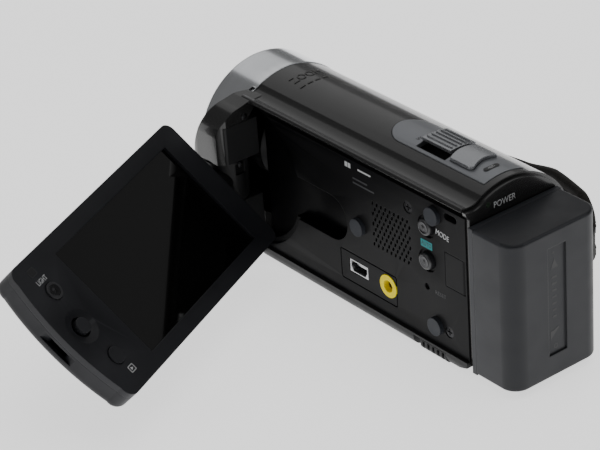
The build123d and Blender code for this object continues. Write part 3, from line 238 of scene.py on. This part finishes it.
def woven(name, colour, pitch, shade=0.6, sheen=0.25):
    """Plain weave of that pitch in metres, seen from any side."""
    g = Graph(name)
    waves = []
    for direction in ("Z", "DIAGONAL"):
        w = g.node("ShaderNodeTexWave", wave_type="BANDS", bands_direction=direction)
        w.inputs["Scale"].default_value = 0.32 / pitch
        w.inputs["Distortion"].default_value = 1.2
        w.inputs["Detail"].default_value = 2
        g.link(g.coord, w.inputs["Vector"])
        waves.append(w.outputs["Fac"])
    both = g.node("ShaderNodeMath", operation="MAXIMUM")
    g.link(waves[0], both.inputs[0])
    g.link(waves[1], both.inputs[1])
    thread = both.outputs["Value"]
    dark = tuple(c * shade for c in colour)
    base = g.mix(thread, dark, colour)
    base = g.mix(g.spread(g.noise(70, 4), 0, 0.5), base, tuple(c * 1.5 for c in colour))
    g.set(Base_Color=base, Roughness=g.spread(g.noise(900, 3), 0.8, 0.98))
    g.bsdf.inputs["Sheen Weight"].default_value = sheen
    g.bsdf.inputs["Sheen Roughness"].default_value = 0.5
    g.relief(thread, 0.6, 0.00012, 0.0001)
    return g.mat


black_gloss = moulded("black_gloss", (0.0045, 0.0044, 0.0044), 0.24, 1200, 0.02, 0.35, 0.0004, 0.0, 0.4)
black_matte = moulded("black_matte", (0.0035, 0.0035, 0.004), 0.42, 3200, 0.25, 0.0, 0.0003, 0.0, 0.25)
panel_black = moulded("panel_black", (0.0012, 0.0012, 0.0016), 0.34, 3400, 0.2, 0.0, 0.0003, 0.0, 0.07)
battery_black = moulded("battery_black", (0.0125, 0.0135, 0.0165), 0.42, 3000, 0.3, 0.0, 0.0005, 0.0, 0.3)
screen_frame = moulded("screen_frame", (0.0085, 0.0088, 0.011), 0.44, 3000, 0.25, 0.0, 0.0004, 0.0, 0.25)
inset_grey = moulded("inset_grey", (0.13, 0.135, 0.145), 0.34, 2400, 0.15, 0.1, 0.0004, 0.55)
lever_grey = moulded("lever_grey", (0.20, 0.205, 0.215), 0.26, 2000, 0.08, 0.2, 0.0003, 0.75)
key_black = moulded("key_black", (0.016, 0.016, 0.018), 0.3, 2000, 0.1, 0.1)
pad_grey = moulded("pad_grey", (0.010, 0.012, 0.0165), 0.6, 1800, 0.35, 0.0, 0.0003, 0.0, 0.3)
screw_black = metal("screw_black", (0.035, 0.035, 0.037), 0.34, (12, 1, 1))
board_black = moulded("board_black", (0.006, 0.0065, 0.006), 0.5, 900, 0.3, 0.0, 0.0002, 0.0, 0.2)
# silver of the front ring; the seam bead also uses it as a painted highlight on the cover's front edge
ring_silver = metal("ring_silver", (0.80, 0.815, 0.84), 0.16, (1, 40, 1), 0.02, 0.0004)
steel = metal("steel", (0.50, 0.50, 0.51), 0.28, (12, 1, 1))
gold = metal("gold", (0.72, 0.46, 0.14), 0.25)
alloy = metal("alloy", (0.55, 0.55, 0.57), 0.4)
yellow = moulded("yellow", (0.80, 0.50, 0.0), 0.5, 1500, 0.05, 0.0, 0.0003, 0.0, 0.1)
screen_glass = glassy("screen_glass", (0.002, 0.002, 0.002), 0.05)
lens_coat = glassy("lens_coat", (0.006, 0.008, 0.02), 0.03)
pcb = board("pcb")
strap_cloth = woven("strap_cloth", (0.010, 0.0095, 0.0095), 0.0006, 0.6, 0.08)
binding_cloth = woven("binding_cloth", (0.016, 0.0135, 0.011), 0.0004, 0.55, 0.12)
thread_grey = printed("thread_grey", (0.05, 0.045, 0.04), 0.8)
white_ink = printed("white_ink", (0.62, 0.63, 0.64), 0.5)
dim_ink = printed("dim_ink", (0.045, 0.046, 0.05), 0.5)
faint_ink = printed("faint_ink", (0.07, 0.069, 0.067), 0.45)
# dark print colour; the screw heads also use it as painted shade in their cross recesses
dark_print_and_shade = printed("dark_print_and_shade", (0.012, 0.012, 0.013), 0.45)
teal_ink = printed("teal_ink", (0.004, 0.23, 0.24), 0.6)
led_green = glassy("led_green", (0.02, 0.035, 0.02), 0.1)
key_metal = moulded("key_metal", (0.035, 0.035, 0.037), 0.18, 1500, 0.05, 0.2, 0.0001, 0.9)

finish_of = {
    black_gloss: ["top_cover", "rear_bezel"],
    black_matte: ["right_cover", "bottom_cover", "front_chin", "strap_lugs", "lens_cover_switch",
                  "card_door", "battery_release_lever", "card_slot", "dc_jack", "lens_barrel",
                  "hinge_blocks", "lcd_knuckle"],
    panel_black: ["left_panel", "jack_flap", "lens_bezel", "barrier_blade_upper", "barrier_blade_lower"],
    battery_black: ["battery_case", "battery_base"],
    screen_frame: ["lcd_bezel", "lcd_back_cover", "multi_selector", "view_button", "selector_gimbal"],
    inset_grey: ["control_plate"],
    lever_grey: ["zoom_lever", "photo_button"],
    key_black: ["mode_button", "auto_button", "light_button", "reset_button", "start_stop_button"],
    pad_grey: ["rubber_pads"],
    ring_silver: ["front_ring"],
    screw_black: ["case_screws"],
    board_black: ["switch_boards"],
    steel: ["usb_socket", "tripod_bush", "door_pins", "swing_pins", "lcd_tilt_sleeve",
            "lcd_tilt_shaft", "battery_shoe"],
    gold: ["av_jack", "battery_terminals"],
    alloy: ["chassis_frame", "image_sensor", "speaker", "battery_cells"],
    yellow: ["av_jack_ring"],
    screen_glass: ["lcd_glass", "lcd_module"],
    lens_coat: ["front_lens", "lens_groups"],
    pcb: ["main_board", "lcd_boards"],
    led_green: ["power_led"],
}
for material, names in finish_of.items():
    for name in names:
        mesh = nodes[name].data
        mesh.materials.clear()
        mesh.materials.append(material)


# --------------------------------------------------------------- piece makers
def add_mesh(name, verts, faces, material, body, matrix=None, smooth=True):
    mesh = bpy.data.meshes.new(name)
    mesh.from_pydata([tuple(v) for v in verts], [], faces)
    mesh.materials.append(material)
    if matrix is not None:
        mesh.transform(matrix)
    bm = bmesh.new()
    bm.from_mesh(mesh)
    bmesh.ops.remove_doubles(bm, verts=bm.verts, dist=1e-7)
    bmesh.ops.recalc_face_normals(bm, faces=bm.faces)
    bm.to_mesh(mesh)
    bm.free()
    for p in mesh.polygons:
        p.use_smooth = smooth
    obj = bpy.data.objects.new(name, mesh)
    scene.collection.objects.link(obj)
    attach(obj, body)
    return obj


def revolve(name, profile, matrix, material, body, steps=64):
    """Turns (radius, height) points, in mm, about the local z axis."""
    verts, faces = [], []
    for r, h in profile:
        for i in range(steps):
            a = 2 * math.pi * i / steps
            verts.append((r * MM * math.cos(a), r * MM * math.sin(a), h * MM))
    for k in range(len(profile) - 1):
        for i in range(steps):
            j = (i + 1) % steps
            faces.append((k * steps + i, k * steps + j, (k + 1) * steps + j, (k + 1) * steps + i))
    faces.append(tuple(range(steps))[::-1])
    faces.append(tuple((len(profile) - 1) * steps + i for i in range(steps)))
    return add_mesh(name, verts, faces, material, body, matrix, True)


def slab(name, outline, thick, matrix, material, body, smooth=False):
    """Flat plate with that outline in mm, thick mm high above the local plane."""
    n = len(outline)
    verts = [(x * MM, y * MM, 0) for x, y in outline] + [(x * MM, y * MM, thick * MM) for x, y in outline]
    faces = [tuple(range(n))[::-1], tuple(range(n, 2 * n))]
    faces += [(i, (i + 1) % n, n + (i + 1) % n, n + i) for i in range(n)]
    return add_mesh(name, verts, faces, material, body, matrix, smooth)


def rounded(w, h, r, cx=0.0, cy=0.0, steps=5):
    """Outline of a rectangle with round corners, in mm."""
    points = []
    for sx, sy, start in ((1, 1, 0), (-1, 1, 90), (-1, -1, 180), (1, -1, 270)):
        for k in range(steps + 1):
            a = math.radians(start + 90 * k / steps)
            points.append((cx + sx * (w / 2 - r) + r * math.cos(a), cy + sy * (h / 2 - r) + r * math.sin(a)))
    return points


def frame_line(name, w, h, r, line, thick, matrix, material, body, cx=0.0, cy=0.0):
    """A thin closed outline standing on the local plane."""
    outer = rounded(w, h, r, cx, cy)
    inner = rounded(w - 2 * line, h - 2 * line, max(r - line, 0.02), cx, cy)
    n = len(outer)
    verts = [(x * MM, y * MM, 0) for x, y in outer] + [(x * MM, y * MM, 0) for x, y in inner]
    verts += [(x, y, thick * MM) for x, y, _ in verts]
    faces = []
    for i in range(n):
        j = (i + 1) % n
        faces.append((2 * n + i, 2 * n + j, 3 * n + j, 3 * n + i))
        faces.append((i, j, 2 * n + j, 2 * n + i))
        faces.append((n + i, 3 * n + i, 3 * n + j, n + j))
        faces.append((i, n + i, n + j, j))
    return add_mesh(name, verts, faces, material, body, matrix, False)


def lettering(name, text, height, matrix, material, body, squeeze=1.0, thick=0.02, wrap=None):
    """Small raised print, height mm tall and centred on the local origin. wrap bends it over a round top."""
    curve = bpy.data.curves.new(name, "FONT")
    curve.body = text
    curve.size = height * 1.38 * MM
    curve.align_x = "CENTER"
    curve.align_y = "CENTER"
    curve.extrude = thick * MM
    curve.resolution_u = 3
    temp = bpy.data.objects.new(name + "_temp", curve)
    scene.collection.objects.link(temp)
    bpy.context.view_layer.update()
    mesh = bpy.data.meshes.new_from_object(temp.evaluated_get(bpy.context.evaluated_depsgraph_get()))
    bpy.data.objects.remove(temp)
    mesh.name = name
    mesh.transform(Matrix.Diagonal((squeeze, 1, 1, 1)))
    if wrap:
        for v in mesh.vertices:
            v.co.z -= v.co.x**2 / (2 * wrap * MM)
    mesh.transform(matrix)
    mesh.materials.clear()
    mesh.materials.append(material)
    obj = bpy.data.objects.new(name, mesh)
    scene.collection.objects.link(obj)
    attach(obj, body)
    return obj


def on_side(y, z, proud=0.02):
    """Local frame on the side panel, reading toward the battery."""
    return frame_at((FLOOR_X + proud * MM, y * MM, z * MM), (0, 1, 0), (0, 0, 1))


def on_screen(a, b, proud=0.02):
    """Local frame on the screen's bezel, reading toward the hinge."""
    return frame_at(lcd_point(a, b, BEZEL_FACE - proud), -lcd_u, lcd_v)


def on_top(x, y, r=COVER_R):
    """Local frame on the round top, read from behind."""
    a = math.asin(x / r)
    origin = (x * MM, y * MM, LENS_Z + r * math.cos(a) * MM)
    return frame_at(origin, (-math.cos(a), 0, math.sin(a)), (0, -1, 0))


# ------------------------------------------------------------ keys with spun tops
def spun_top(name, matrix, radius, body):
    """Slightly hollow metal disc with fine turned rings, which catches the light as a bow."""
    profile = [(0.02, 0.0)]
    rings = 14
    for k in range(1, rings * 2 + 1):
        r = radius * k / (rings * 2)
        ridge = 0.022 if k % 2 else 0.0
        profile.append((r, 0.14 * (r / radius) ** 2 + ridge))
    profile += [(radius + 0.04, 0.10), (radius + 0.04, 0.0)]
    return revolve(name, profile, matrix, key_metal, body, 72)


KEY_R = 1.75
KEY_PROUD = 1.2
spun_top("mode_key_top", on_side(28.3, 40.3, KEY_PROUD), KEY_R, "mode_key")
spun_top("auto_key_top", on_side(28.1, 29.7, KEY_PROUD), KEY_R, "auto_key")
spun_top("light_key_top", frame_at(lcd_point(89.6, 11.2, -5.1), -lcd_u, lcd_v), KEY_R, "light_key")

# -------------------------------------------------------------- printed control words
mode_place = frame_at((FLOOR_X + 0.02 * MM, 34.6 * MM, 40.0 * MM), (0, 1, -0.12), (0, 0, 1))
lettering("mode_word", "MODE", 1.7, mode_place, white_ink, "body", 0.80)
slab("auto_box", rounded(4.6, 2.3, 0.25), 0.03, on_side(28.0, 34.6), teal_ink, "body")
lettering("auto_word", "AUTO", 1.25, on_side(28.0, 34.6, 0.045), dark_print_and_shade, "body", 0.85)
lettering("reset_word", "RESET", 1.2, on_side(33.0, 21.0), dim_ink, "body", 1.0)
power_place = frame_at((2.55 * MM, REAR_Y + 0.02 * MM, 49.7 * MM), (-1, 0, 0), (0, 0, 1))
lettering("power_word", "POWER", 1.9, power_place, white_ink, "body", 0.86)
lettering("light_word", "LIGHT", 1.5, on_screen(90.0, 15.3), white_ink, "lcd_panel", 0.78)
lettering("wide_letter", "W", 1.3, on_top(2.2, 11.3), dark_print_and_shade, "body", 0.9)
lettering("tele_letter", "T", 1.3, on_top(-4.4, 11.3), dark_print_and_shade, "body", 0.9)


# ------------------------------------------------------------- small printed marks
def ring_mark(name, r_out, r_in, matrix, material, body, x_scale=1.0):
    """Flat printed ring, r in mm."""
    n = 40
    verts = []
    for r, h in ((r_out, 0.03), (r_in, 0.03)):
        for i in range(n):
            a = 2 * math.pi * i / n
            verts.append((r * x_scale * MM * math.cos(a), r * MM * math.sin(a), h * MM))
    faces = [(i, (i + 1) % n, n + (i + 1) % n, n + i) for i in range(n)]
    return add_mesh(name, verts, faces, material, body, matrix, False)


slab("light_window", rounded(2.6, 2.0, 0.3), 0.05, on_screen(90.6, 18.6), dark_print_and_shade, "lcd_panel")
frame_line("light_window_line", 2.9, 2.3, 0.35, 0.12, 0.06, on_screen(90.6, 18.6), dim_ink, "lcd_panel")
frame_line("view_icon_box", 2.3, 2.0, 0.2, 0.2, 0.03, on_screen(89.3, -17.3), white_ink, "lcd_panel")
play = [(-0.45, -0.5), (0.6, 0.0), (-0.45, 0.5)]
slab("view_icon_arrow", play, 0.03, on_screen(89.3, -17.3), white_ink, "lcd_panel")

# generic marks on the side panel, in place of the printed ones
for name, x in (("sound_mark_a", -1.0), ("sound_mark_b", 0.35)):
    block = [(x, -0.75), (x + 1.1, -0.75), (x + 1.1, 0.75), (x, 0.75)]
    slab(name, block, 0.03, on_side(-4.2, 46.6), white_ink, "body")
for n, (y, z, w) in enumerate(((0.9, 46.6, 5.4), (-1.5, 43.3, 6.2), (-1.5, 41.9, 9.0))):
    ink = white_ink if n == 0 else dim_ink
    slab(f"panel_mark_{n}", rounded(w, 0.5, 0.1, w / 2), 0.03, on_side(y - 0.6, z), ink, "body")


lettering("zoom_word", "ZOOM", 3.2, on_top(-0.8, -41.0), faint_ink, "body", 0.82, 0.02, COVER_R)
for n, x in enumerate((4.2, 1.4, -1.4, -4.2)):
    slab(f"zoom_bar_{n}", rounded(2.0, 0.5, 0.1), 0.03, on_top(x, -36.6), faint_ink, "body")
slab("photo_oval", rounded(5.2, 1.6, 0.79), 0.03, on_top(-0.3, 37.2, 22.90), dark_print_and_shade, "body")
lettering("photo_word", "PHOTO", 0.95, on_top(-0.3, 37.2, 22.94), white_ink, "body", 0.82, 0.02, 22.9)


def on_battery(x, z):
    """Local frame on the label strip down the back of the battery."""
    return frame_at((x * MM, 61.51 * MM, z * MM), (-1, 0, 0), (0, 0, 1))


slab("battery_dot", rounded(0.7, 0.7, 0.34), 0.03, on_battery(0.9, 40.0), dark_print_and_shade, "battery")
slab("battery_arrow", [(-1.3, -1.3), (1.3, -1.3), (0, 1.5)], 0.03, on_battery(0.6, 36.6), dark_print_and_shade, "battery")
for n in range(7):
    tick = rounded(1.9 - 0.1 * n, 0.6, 0.15)
    slab(f"battery_tick_{n}", tick, 0.03, on_battery(0.7, 32.6 - 2.0 * n), dark_print_and_shade, "battery")
flag = [(-1.5, -1.6), (1.5, 1.2), (1.5, 1.8), (-0.4, 1.0), (-1.5, 1.0)]
slab("battery_mark", flag, 0.03, on_battery(0.8, 15.3), dark_print_and_shade, "battery")
ring_mark("battery_ring_mark", 0.75, 0.45, on_battery(0.4, 11.3), dark_print_and_shade, "battery")


def screw_head(name, matrix, radius, body):
    """Small pan-head screw; its cross recess is not cut, and a dark cross slab raised on the head stands in
    for it as painted shade.
    """
    profile = [(radius, 0.0), (radius, 0.18), (radius * 0.8, 0.36), (0.02, 0.42)]
    revolve(name, profile, matrix, screw_black, body, 32)
    arm = radius * 0.6
    # painted shade: a dark cross slab standing in for the shaded cross recess
    cross = [(arm, 0.13), (0.13, 0.13), (0.13, arm), (-0.13, arm), (-0.13, 0.13), (-arm, 0.13)]
    cross = cross + [(-x, -y) for x, y in cross]
    slab(name + "_cross", cross, 0.44, matrix, dark_print_and_shade, body)


screw_head("housing_screw", frame_at((19.0 * MM, -45.6 * MM, 47.6 * MM), (-1, 0, 0), (0, 0, 1)), 1.0, "body")
knuckle_place = frame_at((21.6 * MM, -45.75 * MM, 33.2 * MM), (-1, 0, 0), (0, 0, 1))
screw_head("knuckle_screw", knuckle_place, 0.9, "lcd_arm")


def seam_highlight():
    """Silver hair line along the cover's front edge where the silver ring meets it: a painted highlight
    standing in for the light caught by the cover's chamfered edge.
    """
    n, m = 90, 8
    verts, faces = [], []
    for i in range(n + 1):
        a = math.radians(58 + 82 * i / n)
        for k in range(m):
            t = 2 * math.pi * k / m
            r = 22.72 + 0.2 * math.cos(t)
            y = -49.45 + 0.2 * math.sin(t)
            verts.append((r * math.cos(a) * MM, y * MM, LENS_Z + r * math.sin(a) * MM))
    for i in range(n):
        for k in range(m):
            j = (k + 1) % m
            faces.append((i * m + k, i * m + j, (i + 1) * m + j, (i + 1) * m + k))
    faces.append(tuple(range(m))[::-1])
    faces.append(tuple(n * m + k for k in range(m)))
    return add_mesh("ring_seam_highlight", verts, faces, ring_silver, "body")


# painted highlight on the cover's front edge at the ring seam
seam_highlight()


# --------------------------------------------------------------------- hand strap
def through(points, steps):
    """Smooth line through the points, evenly cut."""
    pts = [Vector((*p, 0)) for p in points]
    pts = [2 * pts[0] - pts[1]] + pts + [2 * pts[-1] - pts[-2]]
    fine = []
    for k in range(1, len(pts) - 2):
        a, b, c, d = pts[k - 1:k + 3]
        for i in range(40):
            t = i / 40
            square = 2 * a - 5 * b + 4 * c - d
            cube = 3 * b - a - 3 * c + d
            fine.append(0.5 * (2 * b + (c - a) * t + square * t * t + cube * t**3))
    fine.append(pts[-2])
    run = [0.0]
    for p, q in zip(fine, fine[1:]):
        run.append(run[-1] + (q - p).length)
    out, k = [], 0
    for i in range(steps + 1):
        want = run[-1] * i / steps
        while k < len(run) - 2 and run[k + 1] < want:
            k += 1
        t = (want - run[k]) / (run[k + 1] - run[k])
        out.append(fine[k].lerp(fine[k + 1], min(max(t, 0), 1)))
    return out


def height_at(points, y):
    """Height of a polyline of (y, z) points, eased between them."""
    for (y0, z0), (y1, z1) in zip(points, points[1:]):
        if y <= y1:
            t = min(max((y - y0) / (y1 - y0), 0), 1)
            t = t * t * (3 - 2 * t) * 0.5 + t * 0.5
            return z0 + (z1 - z0) * t
    return points[-1][1]


STEPS = 150
outer_plan = [(-28.9, -33.0), (-39.5, -20.0), (-45.6, 4.0), (-44.0, 27.0), (-38.0, 37.6), (-30.8, 40.4)]
inner_plan = [(-28.6, -30.3), (-37.4, -18.6), (-43.1, 4.0), (-41.7, 26.0), (-36.6, 35.4), (-30.5, 37.9)]
strap_out = through(outer_plan, STEPS)
strap_in = through(inner_plan, STEPS)
strap_top = [(-34, 30.0), (-12, 26.4), (3, 26.4), (14, 28.4), (27, 27.2), (41, 20.5)]
strap_low = [(-34, 14.0), (-10, 6.5), (16, 9.2), (41, 13.0)]


def band_point(i, across, up, out=0.0):
    """Point of the strap: i along it, across from its outer to its inner face, up from 0 to 1, in metres."""
    a, b = strap_out[i], strap_in[i]
    y = (a.y + b.y) / 2
    low, high = height_at(strap_low, y), height_at(strap_top, y)
    p = a.lerp(b, across)
    p = p + (a - b).normalized() * out
    return Vector((p.x, p.y, low + (high - low) * up)) * MM


def along(name, section, material, first=0, last=STEPS):
    """Sweeps a closed section of (across, up, out) points along the strap; section is a function of i."""
    loops = [section(i) for i in range(first, last + 1)]
    n = len(loops[0])
    verts = [p for loop in loops for p in loop]
    faces = []
    for k in range(len(loops) - 1):
        for j in range(n):
            m = (j + 1) % n
            faces.append((k * n + j, k * n + m, (k + 1) * n + m, (k + 1) * n + j))
    faces.append(tuple(range(n))[::-1])
    faces.append(tuple((len(loops) - 1) * n + j for j in range(n)))
    return add_mesh(name, verts, faces, material, "body")


def pad_amount(i):
    """Fullness of the padding, none at the webbing ends."""
    s = i / STEPS
    return min(1.0, max(0.0, min((s - 0.10) / 0.08, (0.90 - s) / 0.08)))


def band_section(i):
    full = pad_amount(i)
    side = 14
    ripple = 0.10 * math.sin(i * 0.55) * full
    out = []
    for k in range(side + 1):
        w = 0.02 + 0.96 * k / side
        swell = math.sin(math.pi * k / side) ** 0.6
        out.append(band_point(i, BAND_SIDE, w, swell * (0.35 * full + ripple * math.sin(2.0 * math.pi * w))))
    for w, acr in ((0.993, 0.25), (1.0, 0.5), (0.993, 0.75)):
        out.append(band_point(i, acr, w))
    for k in range(side + 1):
        w = 0.98 - 0.96 * k / side
        swell = math.sin(math.pi * k / side) ** 0.6
        out.append(band_point(i, 0.88, w, -swell * 0.25 * full))
    for w, acr in ((0.007, 0.75), (0.0, 0.5), (0.007, 0.25)):
        out.append(band_point(i, acr, w))
    return out


strap = along("strap_band", band_section, strap_cloth)
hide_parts("hand_strap")


def binding_section(edge):
    """Tape folded over the top (edge 1) or the bottom (edge 0) of the band."""
    def section(i):
        a, b = strap_out[i], strap_in[i]
        y = (a.y + b.y) / 2
        tall = height_at(strap_top, y) - height_at(strap_low, y)
        reach = 2.6 / tall
        lift = 0.28 / tall
        out = []
        tape = ((BAND_SIDE, reach, 0.05), (BAND_SIDE, reach * 0.9, 0.22), (BAND_SIDE, reach * 0.3, 0.26),
                (0.2, -lift * 0.4, 0.16), (0.5, -lift, 0.0), (0.8, -lift * 0.4, -0.16),
                (0.88, reach * 0.3, -0.26), (0.88, reach * 0.9, -0.22), (0.88, reach, -0.05),
                (0.5, reach * 0.8, 0.0))
        for acr, up, proud in tape:
            out.append(band_point(i, acr, 1 - up if edge else up, proud))
        return out
    return section


along("strap_binding_top", binding_section(1), binding_cloth, 14, STEPS - 14)
along("strap_binding_low", binding_section(0), binding_cloth, 14, STEPS - 14)


def flap_section(i):
    """The closing flap that lies over the front half of the band."""
    corners = ((0.2, 0.45), (0.2, 0.95), (0.23, 1.1), (0.77, 1.1), (0.8, 0.95), (0.8, 0.45))
    return [band_point(i, 0.1, up, proud) for up, proud in corners]


along("strap_flap", flap_section, strap_cloth, 4, 78)


def stitches(name, rows, first, last, gap):
    """Short threads along the strap. rows is a list of (up as a function of i, proud)."""
    verts, faces = [], []
    for up_of, proud in rows:
        i = first
        while i + gap < last:
            a = band_point(i, BAND_SIDE, up_of(i), proud)
            b = band_point(i + 1, BAND_SIDE, up_of(i + 1), proud)
            d = (b - a).normalized()
            side = d.cross(Vector((0, 0, 1))).normalized()
            up = side.cross(d)
            base = len(verts)
            for p, r in ((a - d * 0.15 * MM, 0.05), (a, 0.17), (b, 0.17), (b + d * 0.15 * MM, 0.05)):
                for k in range(6):
                    t = math.pi * k / 3
                    verts.append(p + (side * math.cos(t) + up * math.sin(t)) * r * MM)
            for ring in range(3):
                for k in range(6):
                    m = (k + 1) % 6
                    low = base + ring * 6
                    faces.append((low + k, low + m, low + 6 + m, low + 6 + k))
            faces.append(tuple(base + k for k in range(6))[::-1])
            faces.append(tuple(base + 18 + k for k in range(6)))
            i += gap
    return add_mesh(name, verts, faces, thread_grey, "body")


def edge_row(edge):
    def up(i):
        a, b = strap_out[i], strap_in[i]
        y = (a.y + b.y) / 2
        share = 2.0 / (height_at(strap_top, y) - height_at(strap_low, y))
        return 1 - share if edge else share
    return up


stitches("strap_stitches", [(edge_row(1), 0.24), (edge_row(0), 0.24)], 16, STEPS - 15, 2)
stitches("flap_stitches", [(lambda i: 0.26, 1.1), (lambda i: 0.74, 1.1)], 8, 76, 2)


# ------------------------------------------------------------------------ stage
def make_stage():
    bpy.ops.mesh.primitive_plane_add(size=6, location=(0, 0, 0))
    floor = bpy.context.object
    floor.name = "floor"
    g = Graph("floor_white")
    paper = g.mix(g.spread(g.noise(6, 2), 0, 1), (0.90, 0.90, 0.90), (0.93, 0.93, 0.93))
    g.set(Base_Color=paper, Roughness=0.9)
    g.bsdf.inputs["Emission Color"].default_value = (1, 1, 1, 1)
    g.bsdf.inputs["Emission Strength"].default_value = 1.15
    floor.data.materials.append(g.mat)
    world = bpy.data.worlds.new("studio") if not bpy.data.worlds else bpy.data.worlds[0]
    scene.world = world
    world.use_nodes = True
    world.node_tree.nodes["Background"].inputs[0].default_value = (1, 1, 1, 1)
    world.node_tree.nodes["Background"].inputs[1].default_value = 0.16


def area_light(name, location, target, size, power, colour=(1, 1, 1)):
    data = bpy.data.lights.new(name, "AREA")
    data.shape = "RECTANGLE"
    data.size, data.size_y = size
    data.energy = power
    data.color = colour
    light = bpy.data.objects.new(name, data)
    scene.collection.objects.link(light)
    light.location = location
    light.rotation_euler = (Vector(target) - Vector(location)).to_track_quat("-Z", "Y").to_euler()


make_stage()
area_light("top_box", (-0.2, 0.1, 1.0), (0, 0, 0.03), (0.9, 0.9), 2.5)
area_light("left_box", (0.9, -0.3, 0.5), (0.03, 0, 0.03), (0.5, 0.7), 1.5)
area_light("far_box", (-0.55, -0.75, 0.75), (0, 0, 0.04), (1.2, 0.8), 1.6)
